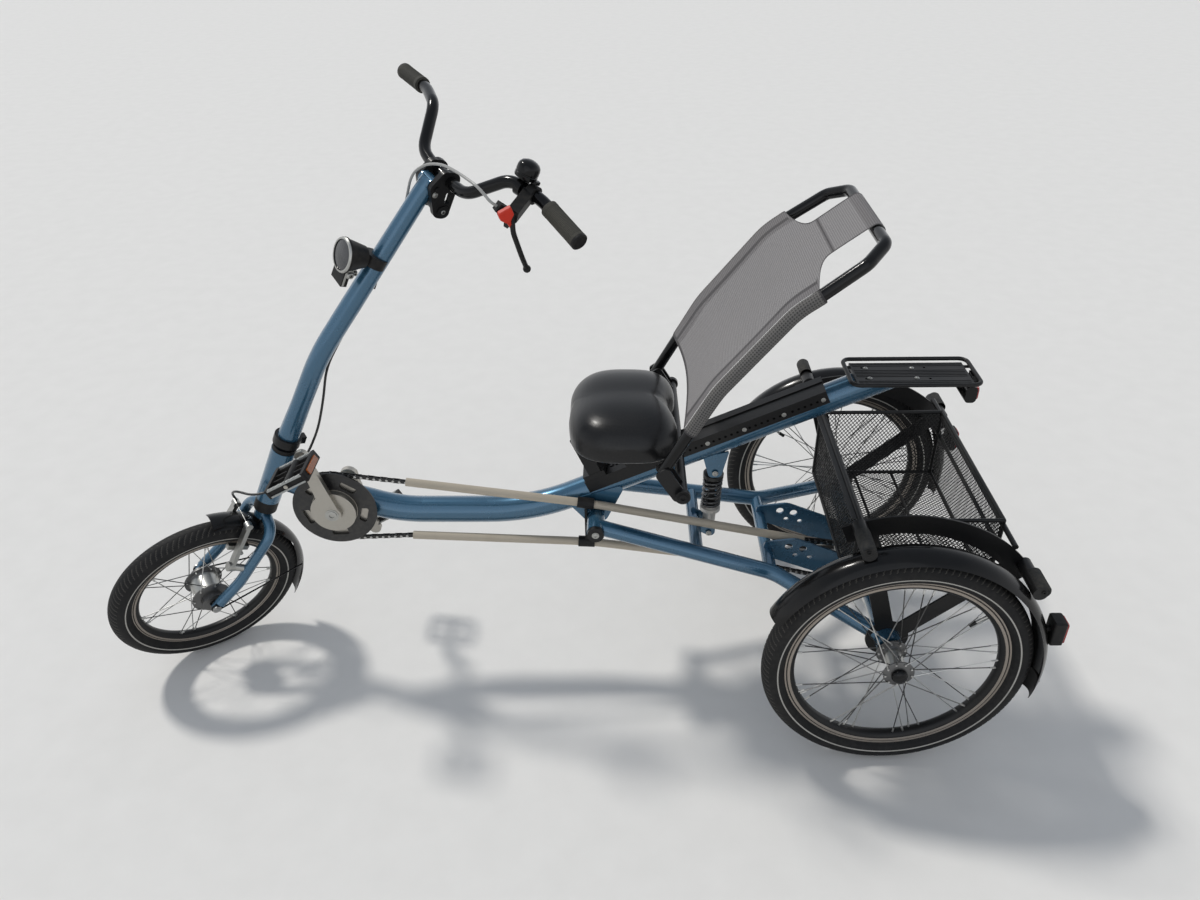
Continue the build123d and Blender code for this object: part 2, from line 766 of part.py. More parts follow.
def basket():
    """Open box with a plain front and gridded floor, sides and rear, hung by two rails on the arches."""
    long = basket_front - basket_rear
    wide = 2 * basket_half
    tall = basket_top - basket_low
    middle = (basket_front + basket_rear) / 2
    place = Pos(middle, 0, basket_low + tall / 2)
    wall, band = basket_wall, basket_band
    shell = place * Box(long, wide, tall)
    shell -= place * Pos(0, 0, wall) * Box(long - 2 * wall, wide - 2 * wall, tall)
    floor = grid(long, wide, basket_cells["long"], basket_cells["wide"])
    sides = grid(long, tall, basket_cells["long"], basket_cells["tall"])
    back = grid(tall, wide, basket_cells["tall"], basket_cells["wide"])
    shell -= [Pos(middle, 0, basket_low) * cut for cut in floor]
    shell -= [place * Pos(0, side * basket_half, 0) * Rot(90, 0, 0) * cut for side in (-1, 1) for cut in sides]
    shell -= [place * Pos(-long / 2, 0, 0) * Rot(0, 90, 0) * cut for cut in back]
    edge = Pos(middle, 0, basket_top) * Box(long + 2 * band, wide + 2 * band, 2 * band)
    edge -= Pos(middle, 0, basket_top) * Box(long - 2 * wall, wide - 2 * wall, 4 * band)
    ends = (arch_y - arch_thick / 2 - rest_gap, arch_y + arch_thick / 2 + hanger_past)
    for (x, z), half in zip((hanger_front, hanger_rear), ends):
        inside = Pos(middle, 0, basket_top) * Box(long - 2 * wall, wide - 2 * wall, tall)
        shell += cross_bar(x, z, half, hanger_r) - inside
    return shell + edge


def side_arch(side):
    """Arched plate beside the wheel with two stays to the bearing housing, and two bumpers."""
    centre = (0, axle_z)
    low_y, high_y = side * arch_y - arch_thick / 2, side * arch_y + arch_thick / 2
    arch = arc_plate(arch_in, arch_out, *arch_span, low_y, arch_thick, centre)
    for angle in arch_stays:
        up = (-sin(radians(angle)), 0, cos(radians(angle)))
        low = around(housing_r, angle, side * arch_y, centre)
        high = around(arch_in + arch_stay_lap, angle, side * arch_y, centre)
        arch += flat_bar(low, high, arch_thick, arch_stay_wide, up)
    arch += cylinder((0, low_y, axle_z), (0, high_y, axle_z), housing_r + arch_disc)
    arch -= cross_bar(0, axle_z, track, housing_r + seat_gap)
    reach = guard_top_r + rest_gap + bumper_r
    for angle in bumper_angles:
        arch += cylinder(around(reach, angle, side * arch_y, centre),
                         around(reach, angle, side * (track / 2 + bumper_past), centre), bumper_r)
    points = [(x, side * y, z) for x, z, y in (arm_front, arm_bend, arm_rear)]
    return arch - pipe(points, arm_tube_r + seat_gap, [arm_bend_r])


def mudguard(side):
    """Arched strip over the rear wheel, from in front of it down behind it."""
    section = bowed(guard_top_r, guard_lip_r, guard_half, guard_wall)
    strip = revolve(Plane.XZ * section, Axis.Z, guard_high - guard_low)
    return Pos(0, side * track / 2, axle_z) * Rot(-90, 0, 0) * Rot(0, 0, -guard_high) * strip


# Drive train

def chain_tube(run):
    """Tube round one straight run of the chain, bent a little at its clamp."""
    points = [(x, chain_y, z) for x, z in run]
    return pipe(points, tube_r, [tube_bend]) - pipe(points, tube_bore, [tube_bend])


def chain_clamps():
    """Sleeves that hold both chain tubes, on a strap at the pivot tube."""
    strap_x = pivot_x + pivot_r + rest_gap + clamp_strap[0] / 2
    body = Pos(strap_x, chain_y, (upper_run[1][1] + lower_run[1][1]) / 2) * Box(*clamp_strap)
    for front_end, (x, z), _ in (upper_run, lower_run):
        slope = Vector(front_end[0] - x, 0, front_end[1] - z).normalized()
        middle = Vector(x, chain_y, z) + slope * clamp_ahead
        body += cylinder(middle - slope * clamp_long / 2, middle + slope * clamp_long / 2, clamp_r)
    for run in (upper_run, lower_run):
        body -= pipe([(x, chain_y, z) for x, z in run], tube_r + seat_gap, [tube_bend])
    return body


def touch_angle(spot, centre, radius, turn):
    """Angle above +X at which a straight line from a spot touches a wheel, on one of its two sides."""
    x, z = spot[0] - centre[0], spot[1] - centre[1]
    return degrees(atan2(z, x) + turn * acos(radius / hypot(x, z)))


def chain():
    """Chain round the front of the chainring and round the sprocket, up to the tube mouths."""
    middle = chain_tall / 2
    wraps = ((ring_r, (crank_x, crank_z), upper_run[0], lower_run[0], -mouth_inside, -1),
             (sprocket_r, (0, axle_z), upper_run[2], lower_run[2], mouth_inside, 1))
    pieces = []
    for wheel_r, centre, top_mouth, low_mouth, inside, turn in wraps:
        radius = wheel_r + chain_rise + middle
        ends = [(mouth[0] + inside, mouth[1]) for mouth in (top_mouth, low_mouth)]
        angles = [touch_angle(ends[0], centre, radius, turn), touch_angle(ends[1], centre, radius, -turn) % 360]
        angles[1] -= 360 if turn < 0 else 0
        low, high = sorted(angles)
        band = arc_plate(radius - middle, radius + middle, low, high, chain_y - chain_core / 2, chain_core,
                         centre)
        for angle, mouth in zip(angles, ends):
            start = Vector(*around(radius, angle, chain_y, centre))
            end = Vector(mouth[0], chain_y, mouth[1])
            band += flat_bar(start, end, chain_core, chain_tall)
            unit = (end - start).normalized()
            for i in range(int((end - start).length / link_pitch / 2)):
                spot = start + unit * (2 * i + 0.5) * link_pitch
                band += flat_bar(spot, spot + unit * link_long, chain_wide, chain_tall - 2 * rest_gap)
        links = int(radians(high - low) * radius / link_pitch / 2)
        for i in range(links):
            angle = low + (i + 0.5) * (high - low) / links
            x, y, z = around(radius, angle, chain_y, centre)
            band += Pos(x, y, z) * Rot(0, 90 - angle, 0) * Box(link_long, chain_wide, chain_tall - 4 * rest_gap)
        pieces.append(band)
    return Compound(pieces)


def crankset():
    """Spindle, toothed chainring, guard disc with its windows and two opposed cranks."""
    a = radians(crank_angle)
    guard_y = chain_y + guard_side
    body = cross_bar(0, 0, arm_y + spindle_past, spindle_r)
    body += Pos(0, chain_y, 0) * toothed(ring_r, ring_thick)
    guard = cylinder((0, guard_y, 0), (0, guard_y + guard_thick, 0), guard_r)
    window = at_side(rounded(guard_window), guard_y - guard_thick, 3 * guard_thick)
    for i in range(guard_windows):
        guard -= Rot(0, 360 / guard_windows * i + guard_turn, 0) * window
    body += guard + cylinder((0, chain_y - ring_thick / 2, 0), (0, arm_y - disc_short, 0), disc_r)
    for side in (1, -1):
        end = Vector(side * crank_length * cos(a), side * arm_y, side * crank_length * sin(a))
        foot = Vector(0, side * arm_y, 0)
        run = end - foot
        wide = Plane(origin=foot, x_dir=(0, 1, 0), z_dir=run) * Rectangle(arm_thick, arm_wide)
        narrow = Plane(origin=end, x_dir=(0, 1, 0), z_dir=run) * Rectangle(arm_thick - 2, arm_end_wide)
        body += loft([wide, narrow])
        body += cylinder((0, side * (arm_y - arm_thick / 2 + 0.5), 0), (0, side * (arm_y + arm_thick / 2), 0),
                         arm_boss_r)
        body += cylinder((end.X, side * (arm_y - arm_thick / 2 + 1), end.Z),
                         (end.X, side * (arm_y + arm_thick / 2 - 1), end.Z), arm_eye_r)
        body += cylinder(end, (end.X, side * (pedal_y + pedal_half), end.Z), pedal_pin_r)
    return Pos(crank_x, 0, crank_z) * body


def pedal(side):
    """Platform pedal: a hub, a cage with two windows, and a reflector on each long face."""
    a = radians(crank_angle)
    centre = (crank_x + side * crank_length * cos(a), side * pedal_y, crank_z + side * crank_length * sin(a))
    half = pedal_half - 2
    window = pedal_long / 2 - pedal_middle - pedal_edge
    body = Box(pedal_long - pedal_reflector[0], 2 * half, pedal_thick)
    for end in (-1, 1):
        cut = Box(window, 2 * (half - pedal_rail), 2 * pedal_thick)
        body -= Pos(end * (window / 2 + pedal_middle), 0, 0) * cut
        body += Pos(end * (pedal_long - pedal_reflector[0]) / 2, 0, 0) * Box(*pedal_reflector)
    body += cylinder((0, -pedal_half - 2, 0), (0, half, 0), pedal_hub_r)
    body -= cross_bar(0, 0, half + cut_past, pedal_pin_r + run_gap)
    return Pos(*centre) * Rot(0, pedal_tilt, 0) * body


# Steered body, in fork space: X forward from the steering axis, Y left, Z up the axis

def crown(gap):
    """Bent tube of both fork legs and the boss of the steerer, thicker by a gap."""
    body = cylinder((0, 0, crown_t - crown_drop - gap), (0, 0, head_low - cup_low_tall - 2 * rest_gap),
                    steerer_r + crown_boss + gap)
    for side in (-1, 1):
        points = [(0, 0, crown_t), (0, side * leg_half, crown_t - crown_drop),
                  (leg_knee[0], side * leg_half, leg_knee[1]), (leg_end[0], side * leg_half, leg_end[1])]
        body += pipe(points, leg_r + gap, leg_bends)
    return body


def fork():
    """Steerer, unicrown with two raked legs and dropouts."""
    body = cylinder((0, 0, crown_t - crown_drop), (0, 0, post_low + steerer_in_post), steerer_r) + crown(0)
    for side in (-1, 1):
        middle = side * (dropout_half + dropout_thick / 2)
        body += at_side(rounded(dropout_edge, (fork_rake, 0)), middle - dropout_thick / 2, dropout_thick)
    return body - cross_bar(fork_rake, 0, dropout_half + 2 * cut_past, front["axle"] + seat_gap)


def front_axle():
    """Axle pin with its nuts outside the eyes of the mudguard stays."""
    inner = stay_eye_y + stay_eye + seat_gap
    pin = cross_bar(fork_rake, 0, inner + axle_nut + 1, front["axle"])
    for side in (-1, 1):
        pin += cylinder((fork_rake, side * inner, 0), (fork_rake, side * (inner + axle_nut), 0), axle_nut_r)
    return pin


def post_spots():
    """Foot, start and end of the curved stretch, and head of the post."""
    low = (-post_knee_back / 2, 0, post_knee - post_bend_half)
    high = (-post_knee_back - post_bend_half * tan(post_lean), 0, post_knee + post_bend_half)
    return (0, 0, post_low), low, high, (-post_top_back, 0, post_top)


def post_foot(gap):
    """Lower end of the post, thicker by a gap."""
    foot, low, _, _ = post_spots()
    return cone(foot, low, post_low_r + gap, post_mid_r + gap)


def post_head(gap):
    """Upper end of the post, thicker by a gap."""
    _, _, high, top = post_spots()
    return cone(high, top, post_mid_r + gap, post_high_r + gap)


def post_bend(gap):
    """Curved middle of the post, thicker by a gap."""
    _, low, high, _ = post_spots()
    return pipe([low, (-post_knee_back, 0, post_knee), high], post_mid_r + gap, [post_bend_r])


def steering_post():
    """Long post that curves back from the head to a cross tube between the stem's plates."""
    post = post_foot(0) + post_bend(0) + post_head(0)
    eye = (-post_top_back, post_top - post_eye_drop)
    post += cross_bar(*eye, stem_inside - rest_gap, post_eye_r)
    post -= cross_bar(*eye, stem_inside + cut_past, stem_bolt_r + seat_gap)
    socket_top = post_low + steerer_in_post + rest_gap
    return post - cylinder((0, 0, post_low - cut_past), (0, 0, socket_top), steerer_r + seat_gap)


def post_collar():
    """Clamp ring round the foot of the post."""
    collar = cylinder((0, 0, post_low + 1), (0, 0, post_low + 1 + collar_tall), post_low_r + collar_wall)
    lug_x = -post_low_r - 1 - collar_lug[0] / 2
    collar += Pos(lug_x, 0, post_low + 1 + collar_tall / 2) * Box(*collar_lug)
    return collar - post_foot(seat_gap)


def stem():
    """Two side plates from the head of the post to the handlebar, with a barrel behind the post."""
    eye = (-post_top_back, post_top - post_eye_drop)
    wide = stem_edge + bar_clamp_wall / 2
    plate = rounded([(stem_barrel[0] - stem_edge, stem_barrel[1] - stem_edge, stem_edge),
                     (stem_barrel[0] + stem_edge, stem_barrel[1] - stem_edge, stem_edge),
                     (eye[0] + stem_edge, eye[1], stem_barrel_r),
                     (wide - bar_back, bar_up + wide, stem_edge), (-wide - bar_back, bar_up + wide, stem_edge)])
    window = rounded(stem_window)
    reach = stem_half + stem_bolt_past
    body = cross_bar(*stem_barrel, reach, stem_barrel_r) + cross_bar(*eye, reach, stem_bolt_r)
    for y in (-stem_half, stem_inside):
        body += at_side(plate, y, stem_plate)
        body -= at_side(window, y - 1, stem_plate + 2)
        body += cylinder((-bar_back, y, bar_up), (-bar_back, y + stem_plate, bar_up), bar_r + bar_clamp_wall)
    return body - cross_bar(-bar_back, bar_up, reach + cut_past, bar_r + seat_gap)


def bar_points(side):
    """Bend points of one half of the handlebar, from the stem to the end."""
    back, out, drop = bar_shoulder
    return [(-bar_back, side * bar_flat[0], bar_up), (-bar_back, side * bar_flat[1], bar_up + bar_lift),
            (-bar_back - back, side * out, grip_up - drop), (-grip_back, side * grip_out, grip_up),
            (-grip_end_back, side * (grip_end - 2), grip_end_up)]


def handlebar():
    """Bar with an S-bend on each side."""
    points = list(reversed(bar_points(1))) + bar_points(-1)
    return pipe(points, bar_r, [*bar_bends, *reversed(bar_bends)])


def grip(side):
    """Closed sleeve over the end of the bar."""
    start, end = (Vector(*spot) for spot in bar_points(side)[3:])
    unit = (end - start).normalized()
    inner = start + unit * grip_start
    body = cylinder(inner, end + unit * grip_cap, grip_r)
    return body - cylinder(inner - unit, end + unit * seat_gap, bar_r + seat_gap)


def headlight():
    """Round lamp with a reflector below it, on a bracket clamped in front of the post."""
    def at(offset):
        return (lamp_x + offset[0], 0, lamp_up + offset[1])

    rim_r, rim_thick = lamp_rim
    lamp = cone((lamp_x, 0, lamp_up), (lamp_x - lamp_deep, 0, lamp_up), lamp_r, lamp_tail_r)
    lamp += cylinder((lamp_x, 0, lamp_up), (lamp_x + rim_thick, 0, lamp_up), rim_r)
    lamp += Pos(*at(lamp_reflector_at)) * Box(*lamp_reflector)
    lamp += cylinder(*(at(end) for end in lamp_arm), lamp_arm_r)
    lamp += cylinder(*(at(end) for end in lamp_clamp), post_mid_r + lamp_clamp_wall)
    return lamp - post_head(seat_gap)


def front_mudguard():
    """Narrow arched strip over the front wheel, its block under the crown and its two stays."""
    top, lip, half, wall = (front_guard[k] for k in ("top", "lip", "half", "wall"))
    strip = revolve(Plane.XZ * bowed(top, lip, half, wall), Axis.Z, front_guard["high"] - front_guard["low"])
    strip = Pos(fork_rake, 0, 0) * Rot(-90, 0, 0) * Rot(0, 0, -front_guard["high"]) * strip
    strip += Pos(guard_block_x, 0, crown_t - guard_block[2] / 2) * Box(*guard_block) - crown(rest_gap)
    tail = around(lip, front_guard["stay"], 0, (fork_rake, 0))
    bore = cross_bar(fork_rake, 0, leg_half + 2 * cut_past, front["axle"] + seat_gap)
    for side in (-1, 1):
        inner = side * stay_eye_y
        stay = cylinder((fork_rake, inner, 0), (fork_rake, inner + side * stay_eye, 0), stay_eye_r)
        foot = (fork_rake + stay_foot[0], inner + side * (stay_eye + 0.6), stay_foot[1])
        stay += cylinder(foot, (tail[0], side * (half - 1), tail[2]), stay_r)
        strip += stay - bore
    return strip


def brake():
    """Rim brake: bosses on the fork legs, two arms, two pads and the wire between the arms."""
    head_x, head_up = brake_head
    body = cylinder((head_x, -brake_half[1], head_up), (head_x, brake_half[1], head_up), brake_wire_r)
    for side in (-1, 1):
        boss = (brake_boss[0], side * brake_half[0], brake_boss[1])
        tip = (head_x, side * brake_half[1], head_up)
        body += flat_bar(boss, tip, *brake_arm, (0, 1, 0))
        body += cylinder((brake_post[0], side * (leg_half - 3), brake_post[1]), boss, brake_post[2])
        body += cylinder(*((boss[0] + along, boss[1], boss[2] + along / 7) for along in brake_boss_span),
                         brake_boss_r)
        body += cylinder(*((tip[0], tip[1] + along, tip[2]) for along in (-brake_head_half, brake_head_half)),
                         brake_head_r)
        pad = (pad_at[0], side * pad_at[1], pad_at[2])
        body += cylinder(pad, (pad[0], side * brake_half[0], pad[2]), pad_pin_r)
        body += Pos(*pad) * Rot(0, -pad_lean, 0) * Box(*pad_size)
    return body - fork()


def bar_spot(distance):
    """A point on the left bend of the bar, a distance past its second corner, and its direction."""
    start, end = Vector(*bar_points(1)[2]), Vector(*bar_points(1)[3])
    unit = (end - start).normalized()
    return start + unit * distance, unit


def bell():
    """Domed bell and striker on a clamp round the left bend of the bar."""
    spot, unit = bar_spot(bell_at)
    half, wall = bell_clamp
    body = cylinder(spot - unit * half, spot + unit * half, bar_r + wall)
    body += cylinder(spot, spot + Vector(0, 0, bell_foot + wall), bell_foot_r)
    top = bell_skirt + bell_r
    shape = [Line((0, 0), (bell_r, 0)), Line((bell_r, 0), (bell_r, bell_skirt)),
             CenterArc((0, bell_skirt), bell_r, 0, 90), Line((0, top), (0, 0))]
    low = spot + Vector(0, 0, bell_foot)
    body += Pos(*low) * revolve(Plane.XZ * make_face(shape), Axis.Z)
    striker = low + Vector(0, 0, wall)
    body += flat_bar(striker, striker + Vector(*bell_striker_end, 0), *bell_striker)
    return body - cylinder(spot - unit * cut_past, spot + unit * cut_past, bar_r + seat_gap)


def lever():
    """Brake lever: clamp, tapered housing, curved blade with a ball end, and parking latch."""
    spot, unit = bar_spot(lever_at)
    nose, joint = Vector(*lever_nose), Vector(*lever_joint)
    half, wall = lever_clamp
    body = cylinder(spot - unit * half, spot + unit * half, bar_r + wall)
    body += flat_bar(spot + Vector(*lever_root), joint, *lever_body)
    body += flat_bar(joint, nose, *lever_nose_section)
    body += pipe([joint, *lever_blade], lever_blade_r, lever_bends)
    tip, last = Vector(*lever_blade[-1]), Vector(*lever_blade[-2])
    body += Location(Plane(origin=tip, z_dir=tip - last)) * Sphere(lever_ball_r)
    body += flat_bar(*(joint + Vector(*end) for end in latch), *latch_section)
    return body - cylinder(spot - unit * cut_past, spot + unit * cut_past, bar_r + seat_gap)


def cable_route():
    """Bend points of the cable's housing, from the lever's nose to the head of the brake."""
    reach = post_mid_r + cable_r + 2 * rest_gap

    def behind(up, y):
        return (-post_knee_back - max(0, up - post_knee) * tan(post_lean) - reach, y, up)

    nose_x, nose_y, nose_up = lever_nose
    return [(nose_x + 0.4, nose_y, nose_up + 0.2), (nose_x + 13, nose_y - 2.5, nose_up + 4),
            (-76, 176, 1096), (-74, 112, 1088), (-80, 60, 1074),
            (-82, 14, 1050), (-86, -22, 1012), (-98, -25, 950), behind(870, -8), behind(700, -4),
            behind(600, 0), (-42, 12, 530), (-46, 22, 460), (-36, 30, 400), (-12, 37, 352), (18, 36, 314),
            (50, 22, 292), (70, -8, 280), (66, -30, 254),
            (brake_head[0] + 2, -brake_half[1], brake_head[1] + brake_head_r + 1.4)], behind


def brake_cable():
    """Housing from the lever over the stem, down behind the post and round to the front brake."""
    points, behind = cable_route()
    runs = [Vector(*b) - Vector(*a) for a, b in zip(points, points[1:])]
    bends = [0.45 * min(one.length, two.length) / tan(radians(one.get_angle(two)) / 2)
             for one, two in zip(runs, runs[1:])]
    cable = pipe(points, cable_r, bends)
    for up in clip_ups:
        x, y, _ = behind(up, -5)
        clip = Pos(x + 1, y, up) * Box(*cable_clip)
        cable += clip - post_head(seat_gap) - post_foot(seat_gap) - post_bend(seat_gap)
    return cable


# Every piece: name, shape and whether it turns with the steering
wheel_at = {"left": Pos(0, track / 2, axle_z), "right": Pos(0, -track / 2, axle_z) * Rot(0, 0, 180)}
front_at = Pos(fork_rake, 0, 0)
fixed = {
    "main_frame": main_frame(), "headset_cups": headset_cups(), "swing_arm": swing_arm(),
    "pivot_bolt": pivot_bolt(), "axle_shaft": axle_shaft(), "gear_drum": gear_drum(),
    "shock_body": shock_body(), "shock_spring": shock_spring(), "seat_rail": seat_rail(),
    "seat_carriage": seat_carriage(), "saddle": saddle(), "back_frame": back_frame(),
    "back_mesh": back_mesh(), "rack": rack(), "tail_light": tail_light(), "basket": basket(),
    "chain_tube_upper": chain_tube(upper_run), "chain_tube_lower": chain_tube(lower_run),
    "chain_clamps": chain_clamps(), "chain": chain(), "crankset": crankset(),
    "pedal_left": pedal(1), "pedal_right": pedal(-1),
}
for name, side in (("left", 1), ("right", -1)):
    fixed["side_arch_" + name] = side_arch(side)
    fixed["mudguard_" + name] = mudguard(side)
    fixed["tyre_" + name] = wheel_at[name] * tyre(rear)
    fixed["rim_" + name] = wheel_at[name] * rim(rear)
    fixed["hub_" + name] = wheel_at[name] * hub(rear, True)
steered = {
    "fork": fork(), "front_axle": front_axle(), "steering_post": steering_post(),
    "post_collar": post_collar(), "stem": stem(), "handlebar": handlebar(),
    "grip_left": grip(1), "grip_right": grip(-1), "headlight": headlight(),
    "front_mudguard": front_mudguard(), "front_brake": brake(), "bell": bell(),
    "brake_cable": brake_cable(), "brake_lever": lever(),
    "tyre_front": front_at * tyre(front), "rim_front": front_at * rim(front),
    "hub_front": front_at * hub(front, False),
}
nodes = {name: Pos(-origin_x, 0, 0) * shape for name, shape in fixed.items()}
nodes.update({name: Pos(-origin_x, 0, 0) * parked * shape for name, shape in steered.items()})

os.makedirs("parts", exist_ok=True)
for name, shape in nodes.items():
    export_step(shape, "parts/" + name + ".step")
print("steering foot", round(foot_x - origin_x, 3), round(foot_z, 3))
print("nodes", len(nodes))
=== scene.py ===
import bmesh
import bpy
import json
import numpy as np
from math import acos, atan2, cos, pi, radians, sin, sqrt, tan, tau
from mathutils import Matrix, Vector


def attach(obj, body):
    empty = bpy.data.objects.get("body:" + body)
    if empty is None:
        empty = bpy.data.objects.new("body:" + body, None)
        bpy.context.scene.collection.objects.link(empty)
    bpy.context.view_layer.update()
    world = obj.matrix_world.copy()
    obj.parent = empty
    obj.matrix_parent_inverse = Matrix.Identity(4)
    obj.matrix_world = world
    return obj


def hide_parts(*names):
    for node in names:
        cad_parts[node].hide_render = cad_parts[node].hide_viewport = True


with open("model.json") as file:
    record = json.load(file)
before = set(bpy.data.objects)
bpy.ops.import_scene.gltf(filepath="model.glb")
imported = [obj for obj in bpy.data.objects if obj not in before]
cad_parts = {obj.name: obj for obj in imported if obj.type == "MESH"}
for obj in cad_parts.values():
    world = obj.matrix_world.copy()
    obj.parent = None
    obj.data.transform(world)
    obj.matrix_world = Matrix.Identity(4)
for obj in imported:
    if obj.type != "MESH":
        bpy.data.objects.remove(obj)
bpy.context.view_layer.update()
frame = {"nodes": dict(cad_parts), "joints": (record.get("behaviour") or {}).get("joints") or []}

nodes = frame["nodes"]
joints = {joint["name"]: joint for joint in frame["joints"]}
print("frame loaded:", len(nodes), "nodes")

# Shapes. Every surface is a grid of points worked out as whole arrays.


def vec(values):
    return np.asarray(values, float)


def unit(vector):
    vector = vec(vector)
    return vector / np.linalg.norm(vector, axis=-1, keepdims=True)


def stacked(*parts):
    # arrays stretched to one shape, as the coordinates of points
    return np.stack(np.broadcast_arrays(*parts), -1)


def lengths(line):
    # how far along a line each of its points lies
    return np.concatenate([[0], np.cumsum(np.linalg.norm(np.diff(line, axis=0), axis=1))])


def resampled(line, spots):
    # points at the given lengths along a line
    return np.stack([np.interp(spots, lengths(line), line[:, i]) for i in range(line.shape[1])], 1)


def skin(grid, uv=None, tone=0.0, mat=0):
    # quads between neighbouring rows and columns of a grid
    rows, cols = grid.shape[:2]
    if uv is None:
        uv = np.stack(np.meshgrid(np.linspace(0, 1, rows), np.linspace(0, 1, cols), indexing="ij"), -1)
    corner = np.arange(rows - 1)[:, None] * cols + np.arange(cols - 1)[None]
    faces = np.stack([corner, corner + 1, corner + cols + 1, corner + cols], -1).reshape(-1, 4)
    tone = np.broadcast_to(vec(tone), (rows, cols)).reshape(-1)
    return dict(points=grid.reshape(-1, 3), faces=faces, uv=uv.reshape(-1, 2), tone=tone, mat=mat)


def tube(path, radius, sides, up, mat=0, tone=0.0):
    # centre + radius * (cos a * side + sin a * top), a round section carried along a path, with closed ends
    path = vec(path)
    run = unit(np.gradient(path, axis=0))
    side = unit(np.cross(run, up))
    top = np.cross(side, run)
    rows = (path, side, top, lengths(path))
    path, side, top, place = (np.concatenate([row[:1], row, row[-1:]]) for row in rows)
    radius = np.concatenate([[0], np.full(len(path) - 2, float(radius)), [0]])
    angle = np.linspace(0, tau, sides + 1)
    ring = np.cos(angle)[None, :, None] * side[:, None] + np.sin(angle)[None, :, None] * top[:, None]
    grid = path[:, None] + radius[:, None, None] * ring
    return skin(grid, stacked(place[:, None], angle[None] / tau), tone, mat)


def lathe(profile, turns=48, mat=0):
    # (radius, place) rows turned about the local Y axis: radius * (cos a, 0, sin a) + (0, place, 0)
    profile = vec(profile)
    angle = np.linspace(0, tau, turns + 1)
    radius, place = profile[:, :1], profile[:, 1:2]
    grid = stacked(radius * np.cos(angle), place, radius * np.sin(angle))
    return skin(grid, stacked(angle[None] / tau, lengths(profile)[:, None]), mat=mat)


def roundRect(long, wide, radius, steps=5):
    # corner centres plus a quarter circle at each, as one closed outline in X and Y
    angle = np.linspace(0, tau / 4, steps)
    corner = vec([(1, 1), (-1, 1), (-1, -1), (1, -1)]) * (long / 2 - radius, wide / 2 - radius)
    turn = angle[None] + np.arange(4)[:, None] * tau / 4
    arc = np.stack([np.cos(turn), np.sin(turn)], -1) * radius
    return (corner[:, None] + arc).reshape(-1, 2)


def slab(outline, low, high, edge=0.0008, mat=0):
    # an outline raised from low to high in Z, its rims drawn in by a small rounded edge
    middle = outline.mean(0)
    shrink = 1 - edge / np.linalg.norm(outline - middle, axis=1).mean()
    rows = ((0, low), (shrink, low), (1, low + edge), (1, high - edge), (shrink, high), (0, high))
    closed = np.concatenate([outline, outline[:1]]) - middle
    return skin(np.stack([np.insert(middle + closed * s, 2, z, axis=1) for s, z in rows]), mat=mat)


def placed(surface, centre, x=(1, 0, 0), y=(0, 1, 0), z=None):
    # local X, Y and Z carried onto three directions at a centre
    x, y = unit(x), unit(y)
    z = np.cross(x, y) if z is None else unit(z)
    return dict(surface, points=vec(centre) + surface["points"] @ np.stack([x, y, z]))


def plate(long, wide, radius, low, high, spot=(0, 0, 0), x=(1, 0, 0), y=(0, 1, 0), z=None, mat=0, edge=0.0008,
          steps=5):
    # a flat piece with round corners, raised from low to high along z at a spot
    return placed(slab(roundRect(long, wide, radius, steps), low, high, edge, mat), spot, x, y, z)


def rod(start, end, radius, sides=12, mat=0, tone=0.0):
    # a straight tube between two points
    start, end = vec(start), vec(end)
    up = (0, 0, 1) if abs(unit(end - start)[2]) < 0.8 else (1, 0, 0)
    return tube([start, start * 0.5 + end * 0.5, end], radius, sides, up, mat, tone)


def along(start, end, profile, turns=32, mat=0):
    # a profile of (radius, place) rows turned about the line that runs from start towards end
    run = unit(vec(end) - start)
    side = unit(np.cross(run, (0.31, 0.22, 0.93)))
    return placed(lathe(profile, turns, mat), start, side, run)


def screw(spot, way, radius, tall=0.0022, mat=0):
    # a washer under a rounded head with a round socket sunk in it
    shape = ((0, 0), (1.35, 0), (1.35, 0.3), (1, 0.35), (1, 0.8), (0.85, 1), (0.5, 1), (0.45, 0.35), (0, 0.3))
    return along(spot, vec(spot) + way, [(radius * r, tall * t) for r, t in shape], 18, mat)


def screwPair(x, y, z, radius, tall, mat=0):
    # the same screw on the left and on the right
    return [screw((x, sign * y, z), (0, sign, 0), radius, tall, mat) for sign in (-1, 1)]


def addObject(name, data):
    made = bpy.data.objects.new(name, data)
    bpy.context.scene.collection.objects.link(made)
    return made


